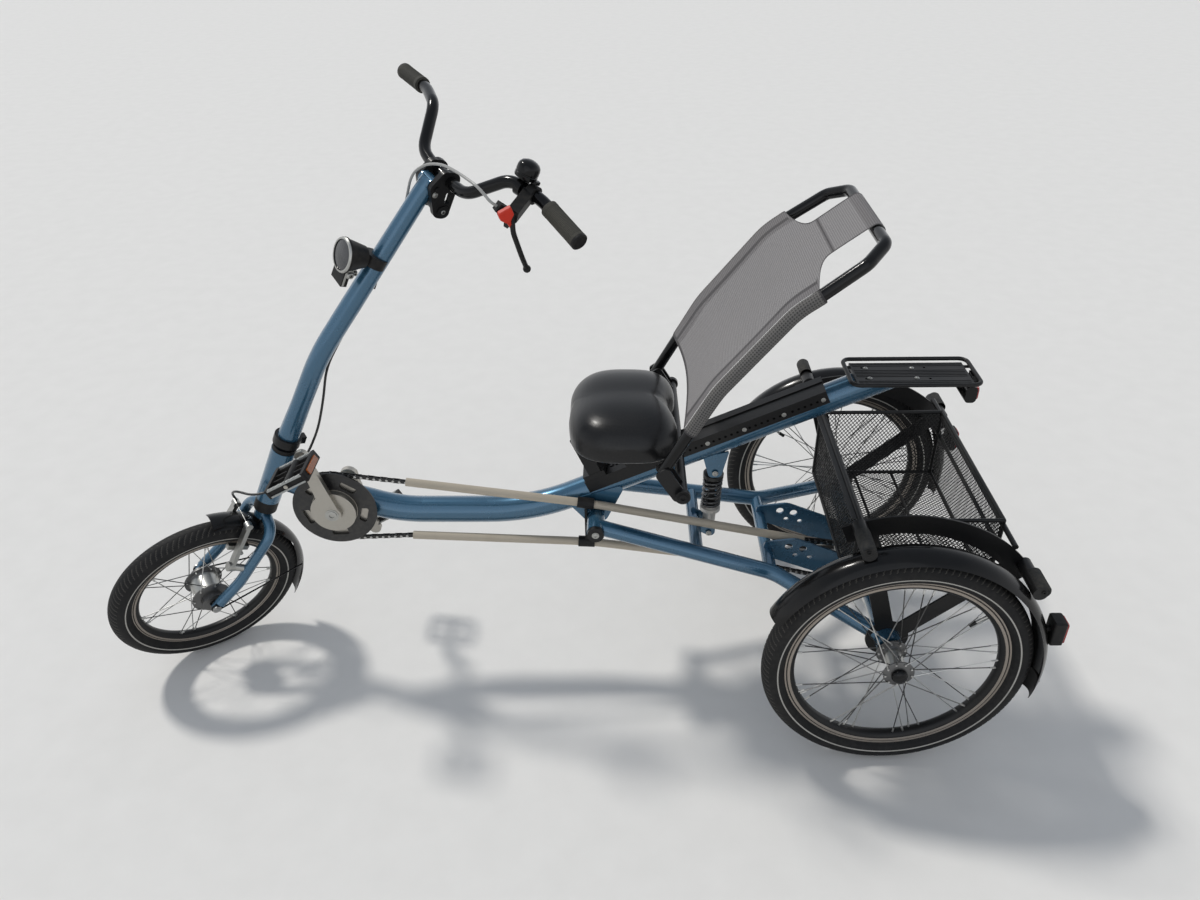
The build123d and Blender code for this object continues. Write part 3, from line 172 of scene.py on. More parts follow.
def build(name, surfaces, body, materials, replaces=(), crease=38, closed=True):
    # joins surfaces into one mesh, merges their seams and turns closed shells outwards
    offset = np.cumsum([0] + [len(p["points"]) for p in surfaces])
    faces = np.concatenate([p["faces"] + o for p, o in zip(surfaces, offset)])
    points, uv, tone = (np.concatenate([p[key] for p in surfaces]) for key in ("points", "uv", "tone"))
    mats = np.concatenate([np.full(len(p["faces"]), p["mat"], np.int32) for p in surfaces])
    mesh = bpy.data.meshes.new(name)
    mesh.from_pydata(points.tolist(), [], faces.tolist())
    mesh.uv_layers.new(name="UVMap").data.foreach_set("uv", uv[faces.reshape(-1)].reshape(-1))
    mesh.attributes.new("tone", "FLOAT", "POINT").data.foreach_set("value", tone)
    mesh.polygons.foreach_set("material_index", mats)
    shape = bmesh.new()
    shape.from_mesh(mesh)
    bmesh.ops.remove_doubles(shape, verts=shape.verts, dist=2e-6)
    bmesh.ops.dissolve_degenerate(shape, edges=shape.edges, dist=1e-7)
    if closed:
        bmesh.ops.recalc_face_normals(shape, faces=shape.faces)
    shape.to_mesh(mesh)
    shape.free()
    mesh.shade_smooth()
    mesh.set_sharp_from_angle(angle=radians(crease))
    for material in materials:
        mesh.materials.append(material)
    piece = addObject(name, mesh)
    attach(piece, body)
    if replaces:
        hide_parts(*replaces)
    return piece


# Finishes. Shared effects are node groups, and each material holds its own shader.


def newGroup(name, inputs, outputs):
    # a node group with sockets given by label and kind
    tree = bpy.data.node_groups.new(name, "ShaderNodeTree")
    for way, sockets in (("INPUT", inputs), ("OUTPUT", outputs)):
        for label, kind in sockets.items():
            tree.interface.new_socket(label, in_out=way, socket_type="NodeSocket" + kind)
    return tree, tree.nodes.new("NodeGroupInput"), tree.nodes.new("NodeGroupOutput")


def feed(tree, node, values):
    # links each value that is a socket and sets each other one
    for key, value in values.items():
        if isinstance(value, bpy.types.NodeSocket):
            tree.links.new(value, node.inputs[key])
        else:
            node.inputs[key].default_value = value


def put(tree, kind, values, **settings):
    node = tree.nodes.new(kind)
    for key, value in settings.items():
        setattr(node, key, value)
    feed(tree, node, values)
    return node


def maths(tree, operation, *values):
    return put(tree, "ShaderNodeMath", dict(enumerate(values)), operation=operation).outputs[0]


def vectorMaths(tree, operation, values):
    return put(tree, "ShaderNodeVectorMath", values, operation=operation)


def above(tree, value, level):
    return maths(tree, "GREATER_THAN", value, level)


def ranged(tree, value, low=0.0, high=1.0, toLow=0.0, toHigh=1.0):
    ends = {"From Min": low, "From Max": high, "To Min": toLow, "To Max": toHigh}
    return put(tree, "ShaderNodeMapRange", {"Value": value, **ends}).outputs[0]


def mixed(tree, factor, *colours):
    first, second = (c if isinstance(c, bpy.types.NodeSocket) else (*c, 1) for c in colours)
    return put(tree, "ShaderNodeMix", {0: factor, 6: first, 7: second}, data_type="RGBA").outputs[2]


def placeOf(tree, kind="Object"):
    return put(tree, "ShaderNodeTexCoord", {}).outputs[kind]


def axisOf(tree, vector, index):
    return put(tree, "ShaderNodeSeparateXYZ", {0: vector}).outputs[index]


def noiseOf(tree, place, scale, detail):
    return put(tree, "ShaderNodeTexNoise", {"Vector": place, "Scale": scale, "Detail": detail}).outputs[0]


def toneOf(tree):
    return put(tree, "ShaderNodeAttribute", {}, attribute_name="tone").outputs["Fac"]


def reliefOf(tree, strength, depth, height):
    values = {"Strength": strength, "Distance": depth, "Height": height}
    return put(tree, "ShaderNodeBump", values).outputs[0]


def makeWeathering():
    # dust is laid where broad noise times fine noise passes a level; roughness rises with it
    inputs = {"Place": "Vector", "Colour": "Color", "Dust colour": "Color", "Dust": "Float",
              "Roughness": "Float", "Scale": "Float"}
    outputs = {"Colour": "Color", "Roughness": "Float", "Height": "Float"}
    tree, enter, leave = newGroup("weathering", inputs, outputs)
    given = enter.outputs
    broad = noiseOf(tree, given["Place"], 9.0, 4.0)
    fine = noiseOf(tree, given["Place"], given["Scale"], 6.0)
    level = ranged(tree, maths(tree, "MULTIPLY", broad, fine), 0.18, 0.42)
    dusty = maths(tree, "MULTIPLY", level, given["Dust"])
    feed(tree, leave, {"Colour": mixed(tree, dusty, given["Colour"], given["Dust colour"]),
                       "Roughness": maths(tree, "MULTIPLY_ADD", dusty, 0.5, given["Roughness"]),
                       "Height": fine})
    return tree


def makeWeave():
    # crossed sine waves of the two cloth directions; the taller thread shows
    tree, enter, leave = newGroup("weave", {"Place": "Vector", "Threads": "Float"}, {"Height": "Float"})
    given = enter.outputs
    scaled = vectorMaths(tree, "SCALE", {0: given["Place"], "Scale": given["Threads"]}).outputs[0]
    waves = [maths(tree, "SINE", axisOf(tree, scaled, i)) for i in (0, 1)]
    feed(tree, leave, {"Height": maths(tree, "MAXIMUM", *waves)})
    return tree


weathering = makeWeathering()
weave = makeWeave()


def finish(name, colour, roughness, metallic=0.0, coat=0.0, dust=0.08, scale=60.0, bump=0.1, bumpDepth=0.0002,
           dustColour=(0.2, 0.18, 0.14), coatRoughness=0.08, specular=0.5):
    # a principled shader whose colour and roughness come from the weathering group, with a fine bump
    material = bpy.data.materials.new(name)
    material.use_nodes = True
    tree = material.node_tree
    shader = tree.nodes["Principled BSDF"]
    worn = put(tree, "ShaderNodeGroup", {
        "Place": placeOf(tree), "Colour": (*colour, 1), "Dust colour": (*dustColour, 1), "Dust": dust,
        "Roughness": roughness, "Scale": scale}, node_tree=weathering).outputs
    feed(tree, shader, {"Base Color": worn["Colour"], "Roughness": worn["Roughness"], "Metallic": metallic,
                        "Specular IOR Level": specular, "Coat Weight": coat, "Coat Roughness": coatRoughness})
    if bump:
        feed(tree, shader, {"Normal": reliefOf(tree, bump, bumpDepth, worn["Height"])})
    return material


def coloured(material, colour, **shaderInputs):
    # the weathering group takes its colour from a socket, and the shader its other inputs
    tree = material.node_tree
    group = next(n for n in tree.nodes if n.type == "GROUP" and n.node_tree == weathering)
    feed(tree, group, {"Colour": colour})
    feed(tree, tree.nodes["Principled BSDF"], shaderInputs)
    return material


def bluePaint():
    # flake: tiny cells brighten or darken the paint a little under the clear coat
    material = finish("bluePaint", (0.04, 0.12, 0.21), 0.27, metallic=0.5, coat=0.85, dust=0.015, bump=0)
    tree = material.node_tree
    flake = put(tree, "ShaderNodeTexVoronoi", {"Vector": placeOf(tree), "Scale": 1500.0}).outputs["Distance"]
    return coloured(material, mixed(tree, flake, (0.023, 0.086, 0.155), (0.045, 0.14, 0.232)))


def tyreRubber():
    # tone 1 marks grooves, where pale dust lies, and tone 2 the reflecting stripe of the wall
    black = (0.009, 0.009, 0.0095)
    material = finish("tyreRubber", black, 0.6, dust=0.25, scale=90, bump=0.25, bumpDepth=0.0004,
                      dustColour=(0.07, 0.066, 0.06), specular=0.2)
    tree = material.node_tree
    tone = toneOf(tree)
    dusty = mixed(tree, ranged(tree, tone, 0.2, 1.0, 0.0, 0.5), black, (0.15, 0.14, 0.125))
    return coloured(material, mixed(tree, above(tree, tone, 1.5), dusty, (0.42, 0.41, 0.38)))


def meshCloth():
    # woven threads from the cloth's own UV in metres; tone darkens hems and marks ribbed sleeves, and darkens
    # the seam bands, which stand for the doubled seam cloth and a painted shadow of the side tubes
    material = finish("meshCloth", (0.2, 0.195, 0.195), 0.8, dust=0.05, scale=40, bump=0, specular=0.25)
    tree = material.node_tree
    uv, tone = placeOf(tree, "UV"), toneOf(tree)
    fine, ribs = (put(tree, "ShaderNodeGroup", {"Place": uv, "Threads": threads}, node_tree=weave).outputs[0]
                  for threads in (1650.0, 1300.0))
    ribbed = above(tree, tone, 1.5)
    height = put(tree, "ShaderNodeMix", {0: ribbed, 2: fine, 3: ribs}).outputs[0]
    shade = ranged(tree, height, -1.0)
    body = mixed(tree, shade, (0.075, 0.072, 0.074), (0.215, 0.205, 0.208))
    sleeve = mixed(tree, shade, (0.03, 0.03, 0.031), (0.14, 0.135, 0.13))
    # hems, seam bands and outer flaps are mixed towards dark grey; in the seam bands this dark is partly
    # painted shadow of the side tubes
    trimmedAndShaded = mixed(tree, maths(tree, "MINIMUM", tone, 1.0), body, (0.045, 0.043, 0.045))
    thin = maths(tree, "MULTIPLY_ADD", above(tree, 0.02, tone), -0.09, 1.0)
    return coloured(material, mixed(tree, ribbed, trimmedAndShaded, sleeve), Alpha=thin,
                    Normal=reliefOf(tree, 0.5, 0.0005, height))


def crankFinish():
    # black guard ring outside the silver disc, by the distance from the crank's axle and the place along it
    alloy = (0.42, 0.4, 0.36)
    ring = dict(inner=0.0468, low=0.0475, high=0.0530)
    material = finish("crankFinish", alloy, 0.34, metallic=0.9, dust=0.1, scale=120)
    tree = material.node_tree
    centre = joints["crank_spin"]["pos_m"]
    moved = vectorMaths(tree, "SUBTRACT", {0: placeOf(tree), 1: centre}).outputs[0]
    flat = vectorMaths(tree, "MULTIPLY", {0: moved, 1: (1, 0, 1)}).outputs[0]
    far = vectorMaths(tree, "LENGTH", {0: flat}).outputs["Value"]
    side = axisOf(tree, moved, 1)
    near = maths(tree, "MULTIPLY", above(tree, side, ring["low"]), above(tree, ring["high"], side))
    mask = maths(tree, "MULTIPLY", near, above(tree, far, ring["inner"]))
    metal = ranged(tree, mask, 0.0, 1.0, 0.9, 0.0)
    return coloured(material, mixed(tree, mask, alloy, (0.011, 0.011, 0.012)), Metallic=metal)


def banded(name, level, lower, upper, metal=(0, 0)):
    # one colour below a level in Z and another above it, each with its own share of metal
    material = finish(name, lower, 0.32, dust=0.05, bump=0)
    tree = material.node_tree
    over = above(tree, axisOf(tree, placeOf(tree), 2), level)
    return coloured(material, mixed(tree, over, lower, upper), Metallic=ranged(tree, over, 0.0, 1.0, *metal))


def spokeSteel():
    # tone, one value a spoke, runs from a dark wire to a bright one
    material = finish("spokeSteel", (0.2, 0.2, 0.2), 0.3, metallic=0.9, dust=0.1, scale=90, bump=0)
    tree = material.node_tree
    return coloured(material, mixed(tree, toneOf(tree), (0.05, 0.05, 0.05), (0.7, 0.7, 0.68)))


blue = bluePaint()
powder = finish("blackPowder", (0.008, 0.008, 0.0085), 0.38, coat=0.06, dust=0.03, scale=300, bump=0.12,
                specular=0.25)
gloss = finish("blackGloss", (0.004, 0.004, 0.0043), 0.15, coat=0.1, dust=0.02, scale=25, bump=0.02,
               dustColour=(0.08, 0.075, 0.06), specular=0.22)
guard = finish("guardPlastic", (0.0045, 0.0045, 0.0048), 0.18, coat=0.1, scale=30, bump=0.03,
               dustColour=(0.06, 0.052, 0.04), specular=0.22)
matt = finish("blackMatt", (0.009, 0.009, 0.0095), 0.5, dust=0.06, scale=120, bump=0.2, specular=0.2)
# near-black and almost without reflection: painted shade inside the seat rail's holes
holeShade = finish("darkPit", (0.002, 0.002, 0.002), 0.8, dust=0, bump=0, specular=0.05)
bumper = finish("bumperRubber", (0.02, 0.021, 0.022), 0.7, dust=0.15, scale=160, bump=0.3, specular=0.2)
rubber = tyreRubber()
silver = finish("polishedAlloy", (0.42, 0.42, 0.4), 0.3, metallic=0.95, dust=0.12, scale=110, bump=0.08)
steel = finish("brightSteel", (0.45, 0.45, 0.44), 0.28, metallic=1.0, scale=90)
flange = finish("flangeAlloy", (0.14, 0.14, 0.14), 0.4, metallic=0.85, dust=0.15, scale=110, bump=0.08)
dark = finish("darkSteel", (0.04, 0.04, 0.041), 0.38, metallic=0.7, dust=0.1, scale=90)
track = finish("brakeTrack", (0.33, 0.29, 0.25), 0.4, metallic=0.6, dust=0.15, scale=200)
beige = finish("beigeTube", (0.42, 0.37, 0.295), 0.5, dust=0.15, scale=35, bump=0.05,
               dustColour=(0.25, 0.21, 0.15))
cage = finish("pedalCage", (0.33, 0.34, 0.33), 0.45, metallic=0.2, dust=0.15, scale=80)
orange = finish("amberReflector", (0.30, 0.075, 0.01), 0.2, coat=0.5, dust=0.05, scale=500, bump=0.6,
                bumpDepth=0.001)
red = finish("redLens", (0.3, 0.008, 0.007), 0.15, coat=0.6, dust=0.05, scale=500, bump=0.6, bumpDepth=0.001)
latchRed = finish("redPlastic", (0.6, 0.03, 0.012), 0.38, dust=0.03, scale=90)
lens = finish("clearLens", (0.03, 0.032, 0.035), 0.12, coat=0.15, dust=0.03, scale=300, bump=0.4,
              bumpDepth=0.001, specular=0.4)
gripRubber = finish("gripRubber", (0.045, 0.044, 0.038), 0.75, dust=0.15, scale=400, bump=0.5,
                    bumpDepth=0.0006, specular=0.25)
leather = finish("saddleCover", (0.006, 0.006, 0.0066), 0.3, coat=0.08, dust=0.02, scale=260, bump=0.08,
                 coatRoughness=0.2, specular=0.3)
cloth = meshCloth()
crankMaterial = crankFinish()
housing = banded("cableHousing", 0.93, (0.01, 0.01, 0.01), (0.3, 0.3, 0.29))
damper = banded("damperBody", 0.385, (0.62, 0.6, 0.56), (0.009, 0.009, 0.0095), (0.35, 0))
coil = finish("springEnamel", (0.007, 0.007, 0.0075), 0.12, coat=0.6, dust=0.03, bump=0)
spokeMaterial = spokeSteel()

nodeFinish = (
    (blue, "main_frame swing_arm fork steering_post"),
    (powder, "pivot_bolt seat_rail seat_carriage rack basket side_arch_left side_arch_right post_collar"),
    (powder, "stem rim_front rim_left rim_right"),
    (gloss, "shock_spring back_frame tail_light handlebar bell"),
    (guard, "mudguard_left mudguard_right front_mudguard"),
    (matt, "headset_cups chain_clamps headlight brake_lever pedal_left pedal_right"),
    (silver, "gear_drum front_brake hub_front hub_left hub_right"),
    (steel, "axle_shaft front_axle"),
    (rubber, "tyre_front tyre_left tyre_right"),
    (beige, "chain_tube_upper chain_tube_lower"),
    (gripRubber, "grip_left grip_right"),
    (leather, "saddle"), (cloth, "back_mesh"), (dark, "chain"),
    (damper, "shock_body"), (housing, "brake_cable"), (crankMaterial, "crankset"))
for material, names in nodeFinish:
    for name in names.split():
        nodes[name].data.materials.clear()
        nodes[name].data.materials.append(material)
print("finishes ready")

# Places. The steered parts are laid out in the fork's own space, and a wheel's in its own.
towardsFront = dict(x=(0, 1, 0), y=(0, 0, 1))
towardsRear = dict(x=(0, -1, 0), y=(0, 0, 1))
sides = dict(Left=1, Right=-1)
steering = dict(headAngle=64.6, parkedTurn=38.5)
head, turn = radians(steering["headAngle"]), radians(steering["parkedTurn"])
forkForward = (sin(head) * cos(turn), sin(turn), cos(head) * cos(turn))
forkUp = (-cos(head), 0, sin(head))
forkLeft = np.cross(forkUp, forkForward)
forkFoot = joints["steering"]["pos_m"]
rearAxle = dict(x=-0.648, z=0.25)


def inFork(surfaces):
    return [placed(surface, forkFoot, forkForward, forkLeft, forkUp) for surface in surfaces]


def atWheel(surfaces, joint, forward, side):
    # a wheel's own space: X forward, Y along the axle away from the trike's middle
    axle = vec(joints[joint]["axis"]) * side
    return [placed(surface, joints[joint]["pos_m"], vec(forward) * side, axle) for surface in surfaces]


# Wheels
wheelSizes = dict(
    rear=dict(outer=0.250, fat=0.024, rimOut=0.2095, rimIn=0.188, rimHalf=0.013, flange=0.029, flangeAt=0.027,
              barrel=0.017, half=0.033, spokes=36, lean=33, blocks=126, cap=0.011),
    front=dict(outer=0.1995, fat=0.0235, rimOut=0.1585, rimIn=0.140, rimHalf=0.012, flange=0.040,
               flangeAt=0.026, barrel=0.031, half=0.044, spokes=28, lean=38, blocks=100, cap=0.0))
treadStyle = dict(depth=0.0012, plain=9, halfAngle=62, grooveShare=0.15, skew=1.4, stripeLow=97,
                  stripeHigh=102.5, wall=128)
valve = dict(angle=142, foot=0.002, stem=0.022, tip=0.036)
bore = 0.0086  # of every hub


def mirrored(profile, side, turns, mat=0):
    # a profile turned about the axle, on one side of the wheel's middle
    return lathe([(radius, side * place) for radius, place in profile], turns, mat)


def tyreSkin(size):
    # radius = middle + fat cos s and place = fat sin s; grooves sink where a skewed saw wave is low,
    # and two bead rows at each side close on the rim
    style, fat = treadStyle, size["fat"]
    section = np.radians(np.linspace(-style["wall"], style["wall"], 71))
    around = np.linspace(0, tau, size["blocks"] * 6 + 1)
    s, a = np.meshgrid(section, around, indexing="ij")
    degrees = np.abs(np.degrees(s))
    wave = (a / tau * size["blocks"] + np.abs(np.sin(s)) * style["skew"] + (s > 0) * 0.5) % 1
    groove = (degrees < style["halfAngle"]) & (wave < style["grooveShare"]) & (degrees > style["plain"])
    reach = fat - 0.0002 - style["depth"] * groove
    radius, place = size["outer"] - fat + reach * np.cos(s), reach * np.sin(s)
    stripe = (degrees > style["stripeLow"]) & (degrees < style["stripeHigh"])
    tone = groove * 1.0 + stripe * 2.0
    row = np.ones((1, len(around)))
    for far, half in ((size["rimOut"] + 0.0002, size["rimHalf"] + 0.0012),
                      (size["rimOut"] - 0.003, size["rimHalf"] - 0.0002)):
        radius = np.concatenate([row * far, radius, row * far])
        place = np.concatenate([row * -half, place, row * half])
        tone = np.concatenate([row * 0, tone, row * 0])
    grid = stacked(radius * np.cos(around), place, radius * np.sin(around))
    return skin(grid, stacked(around / tau, place / fat), tone=tone)


def rimSkins(size):
    # each side is a bright track, a dark groove and a second track over the deep black inner part
    out, low, half = size["rimOut"], size["rimIn"], size["rimHalf"]
    tall = out - low - 0.009
    made = []
    for side in (-1, 1):
        for high, foot in ((out - 0.0002, out - tall * 0.40), (out - tall * 0.55, out - tall)):
            made.append(mirrored([(high, half - 0.0006), (high - 0.0006, half + 0.0003),
                                  (foot + 0.0006, half + 0.0003), (foot, half - 0.0006)], side, 120, 1))
        made.append(mirrored([(out, half - 0.001), (out - tall, half - 0.0008), (low + 0.003, half * 0.72),
                              (low, half * 0.3), (low, 0)], side, 120))
    made.append(lathe([(out, -half + 0.001), (out - 0.004, 0), (out, half - 0.001)], 120))
    return made


def spokeSkins(size):
    # straight wires from a flange to the rim, leaning forwards and backwards by turns, with nipples
    made = []
    foot, reach = size["flange"] - 0.004, size["rimIn"] + 0.001
    for i in range(size["spokes"]):
        side = 1 if i % 2 else -1
        hand = 1 if (i // 2) % 2 else -1
        start = tau * i / size["spokes"]
        lean = start + radians(size["lean"]) * hand
        low = vec([foot * cos(start), side * (size["flangeAt"] + 0.003 * hand), foot * sin(start)])
        tip = vec([reach * cos(lean), side * 0.003, reach * sin(lean)])
        made += [rod(low, tip, 0.00105, 6, tone=(i * 0.618 % 1) ** 2.5),
                 rod(tip + (low - tip) * 0.075, tip, 0.0020, 8, tone=0.8),
                 rod(low - (0, side * 0.003, 0), low + (0, side * 0.0015, 0), 0.0019, 8, tone=0.8)]
    return made


def hubSkins(size):
    # a bright barrel between two darker flanges, each one profile turned about the axle, and a domed cap on
    # the outer end where the size has one
    b, f, at, half = size["barrel"], size["flange"], size["flangeAt"], size["half"]
    made = [lathe([(bore, -at), (b, -at), (b, -at + 0.007), (b, at - 0.007), (b, at), (bore, at)], 64)]
    disc = [(bore, half), (b * 0.75, half), (b * 0.75, at + 0.004), (f - 0.002, at + 0.0018), (f, at + 0.001),
            (f, at - 0.001), (f - 0.003, at - 0.002), (b + 0.002, at - 0.003), (b - 0.001, at - 0.008)]
    made += [mirrored(disc, side, 64, 2) for side in (-1, 1)]
    if size["cap"]:
        dome = ((0.0150, 0), (0.0150, 0.25), (0.0142, 0.5), (0.0118, 0.75), (0.0065, 0.95), (0, 1))
        made.append(lathe([(r, half + size["cap"] * y) for r, y in dome], 32, 1))
    return made


def valveSkins(size):
    # a bright stem and its black cap, both on one radius of the wheel
    angle, low = radians(valve["angle"]), size["rimIn"]
    way = vec([cos(angle), 0, sin(angle)])
    return [rod(way * (low + valve["foot"]), way * (low - valve["stem"]), 0.0031, 10, 2),
            rod(way * (low - valve["stem"]), way * (low - valve["tip"]), 0.0038, 10)]


for name, joint, size, forward, side in (
        ("Left", "left_wheel_spin", wheelSizes["rear"], (1, 0, 0), 1),
        ("Right", "right_wheel_spin", wheelSizes["rear"], (1, 0, 0), -1),
        ("Front", "front_wheel_spin", wheelSizes["front"], forkForward, 1)):
    body, low, spot = joints[joint]["child"], name.lower(), (joint, forward, side)
    build("tyre" + name, atWheel([tyreSkin(size)], *spot), body, [rubber], ["tyre_" + low], crease=70,
          closed=False)
    build("rim" + name, atWheel(rimSkins(size) + valveSkins(size), *spot), body,
          [powder, track, silver], ["rim_" + low], closed=False)
    build("hub" + name, atWheel(hubSkins(size), *spot), body, [silver, gloss, flange],
          ["hub_" + low])
    build("spokes" + name, atWheel(spokeSkins(size), *spot), body, [spokeMaterial], closed=False)
print("wheels built")

# Saddle
saddle = dict(centre=(-0.142, 0, 0.5735), long=0.216, wide=0.292, tall=0.0790, widest=0.38, square=3.6,
              domeSquare=2.8, baseSquare=4.0, taper=0.12, lobe=0.0010, lobeAt=0.068, lobeWide=0.045,
              valley=0.0012, valleyWide=0.030, notch=0.017, notchWide=0.040, frontDrop=0.010, droop=0.013,
              rows=56, cols=160, voxel=0.005, pressure=4.0, frames=20, cap=0.003)


def saddleSkin(s):
    # a squared-off dome: (|x/a|^n + |y/b|^n)^(m/n) + |z/c|^m = 1, with its own power m above and below the
    # widest level; two lobes and a valley are added to the top, the back is notched, and the rim hangs lower
    # by droop * reach^6
    t = np.linspace(-pi / 2, pi / 2, s["rows"])[:, None]
    a = np.linspace(0, tau, s["cols"] + 1)[None]
    power = 2 / np.where(t > 0, s["domeSquare"], s["baseSquare"])
    reach, rise = np.abs(np.cos(t)) ** power, np.abs(np.sin(t)) ** power
    oval = (np.abs(np.cos(a)) ** s["square"] + np.abs(np.sin(a)) ** s["square"]) ** (-1 / s["square"])
    halfLong = s["long"] / 2
    x = halfLong * oval * np.cos(a) * reach
    y = s["wide"] / 2 * oval * np.sin(a) * reach
    ahead, behind = np.clip(x / halfLong, 0, 1), np.clip(-x / halfLong, 0, 1)
    y = y * (1 - s["taper"] * ahead ** 2)
    x = x + s["notch"] * behind ** 3 * np.exp(-(y / s["notchWide"]) ** 2)
    low = s["tall"] * s["widest"]
    z = low + np.where(t > 0, (s["tall"] - low) * rise, -low * rise)
    crown = s["lobe"] * np.exp(-((np.abs(y) - s["lobeAt"]) / s["lobeWide"]) ** 2)
    crown = crown - s["valley"] * np.exp(-(y / s["valleyWide"]) ** 2) - s["frontDrop"] * ahead ** 2
    z = z + crown * np.clip(rise * 1.3 - 0.3, 0, 1) * (t > 0) - s["droop"] * reach ** 6
    return skin(np.stack([x, y, z], -1) + vec(s["centre"]))


def evaluated(piece):
    return piece.evaluated_get(bpy.context.evaluated_depsgraph_get())


def swollen(piece, s):
    # the cover is remeshed and blown up a little as cloth; each point's way is capped, and one subdivision
    # follows
    scene = bpy.context.scene
    materials = list(piece.data.materials)
    remesh = piece.modifiers.new("remesh", "REMESH")
    remesh.mode = "VOXEL"
    remesh.voxel_size = s["voxel"]
    fresh = bpy.data.meshes.new_from_object(evaluated(piece))
    piece.modifiers.remove(remesh)
    piece.data = fresh
    before = np.empty(len(fresh.vertices) * 3)
    fresh.vertices.foreach_get("co", before)
    blown = piece.modifiers.new("cloth", "CLOTH")
    blown.settings.use_pressure = True
    blown.settings.uniform_pressure_force = s["pressure"]
    blown.settings.effector_weights.gravity = 0
    blown.point_cache.frame_end = s["frames"]
    for frameNumber in range(1, s["frames"] + 1):
        scene.frame_set(frameNumber)
    after = np.empty_like(before)
    evaluated(piece).data.vertices.foreach_get("co", after)
    piece.modifiers.remove(blown)
    scene.frame_set(1)
    way = (after - before).reshape(-1, 3)
    far = np.linalg.norm(way, axis=1, keepdims=True)
    way = way * np.minimum(1, s["cap"] / np.maximum(far, 1e-9))
    fresh.vertices.foreach_set("co", (before.reshape(-1, 3) + way).reshape(-1))
    fresh.shade_smooth()
    fresh.materials.clear()
    for material in materials:
        fresh.materials.append(material)
    smooth = piece.modifiers.new("round", "SUBSURF")
    smooth.levels = smooth.render_levels = 1


saddlePiece = build("saddleCover", [saddleSkin(saddle)], "frame", [leather], ["saddle"],
                    crease=180)
swollen(saddlePiece, saddle)
print("saddle built")

# Backrest cloth
backrest = dict(
    side=((-0.211, 0.592), (-0.303, 0.757), (-0.423, 0.905), (-0.530, 0.981)), bends=(0.2, 0.16),
    bar=(-0.564, 0, 1.000), half=0.190, tube=0.011, sleeveFrom=0.095, sleeveTo=0.428, sag=0.018, proud=0.0014,
    ripple=0.0002, tongueHalf=0.082, scallop=0.046, bow=0.017, bowLong=0.12, seamAt=0.155, seamWide=0.005,
    hem=0.005)


def bent(points, radii, steps=16):
    # straight runs joined by arcs that touch both runs, one radius for each inner corner
    points = [vec(p) for p in points]
    line = [points[0][None]]
    for before, corner, after, radius in zip(points, points[1:], points[2:], radii):
        a, b = unit(before - corner), unit(after - corner)
        half = acos(float(np.clip(a @ b, -1, 1))) / 2
        reach = radius / tan(half)
        centre = corner + unit(a + b) * radius / sin(half)
        start, end = corner + a * reach - centre, corner + b * reach - centre
        sweep = acos(float(np.clip(start @ end / radius ** 2, -1, 1)))
        t = np.linspace(0, 1, steps)[:, None]
        line.append(centre + (np.sin((1 - t) * sweep) * start + np.sin(t * sweep) * end) / sin(sweep))
    return np.concatenate(line + [points[-1][None]])


def sheetSkin(s, side, out, spots):
    # the centre line follows the tubes, then runs straight to the top bar and wraps over it; across a row the
    # sheet sags by sag cos(pi/2 y/half), and past the sleeves its half width narrows in a U to the tongue's
    edge = side + out * (s["tube"] + s["proud"])
    sag = s["sag"] * (0.45 + 0.55 * np.sin(np.linspace(0, pi, len(side))))
    angles = np.radians(np.linspace(52, 262, 24))
    wrap = vec(s["bar"]) + (s["tube"] + 0.002) * stacked(np.cos(angles), 0, np.sin(angles))
    share = np.concatenate([np.linspace(0, 0.5, 17)[1:], np.linspace(0.5, 1, 8)[1:-1]])[:, None]
    bridge = edge[-1] + (wrap[0] - edge[-1]) * share
    line = np.concatenate([edge, bridge, wrap])
    normal = np.concatenate([out, np.broadcast_to(out[-1], bridge.shape), out[-1] + np.zeros_like(wrap)])
    sag = np.concatenate([sag, sag[-1] * (1 - share[:, 0]) ** 1.2, np.zeros(len(wrap))])
    place = spots[0] + lengths(line)
    sewn = place[len(side) - 1]  # where the sleeves end
    past = np.clip((place - sewn) / s["scallop"], 0, 1)
    full = s["half"] - 0.004
    wide = s["tongueHalf"] + (full - s["tongueHalf"]) * (1 - past) ** 3
    y = wide[:, None] * np.linspace(-1, 1, 95)[None]
    wave = np.cos(y / full * pi / 2)
    rise = s["bow"] * wave * np.clip(1 - (place - place[0]) / s["bowLong"], 0, 1)[:, None]
    run = unit(np.gradient(line, axis=0))
    grid = line[:, None] - normal[:, None] * (sag[:, None] * wave)[..., None] + run[:, None] * rise[..., None]
    grid[..., 1] = y
    onSide = (past < 0.02)[:, None]
    # a darker band along each seam: the doubled cloth of the seam, with a painted shadow of the side tube on
    # it
    seamAndShadow = (np.abs(np.abs(y) - s["seamAt"]) < s["seamWide"]) & onSide
    atEdge = (wide[:, None] - np.abs(y) < s["hem"]) & (past > 0)[:, None]
    joint = np.abs(place - sewn - s["scallop"]) < 0.002
    first = ((place - place[0] < s["hem"]) | joint)[:, None]
    outer = (np.abs(y) > s["seamAt"]) & onSide
    # tone 0.75 marks the seam bands (seam cloth plus painted shadow of the side tube), 0.85 hems and joins,
    # 0.12 the outer flaps
    tone = np.where(seamAndShadow, 0.75, np.where(atEdge | first, 0.85, np.where(outer, 0.12, 0.0)))
    return skin(grid, stacked(place[:, None], y), tone=tone)


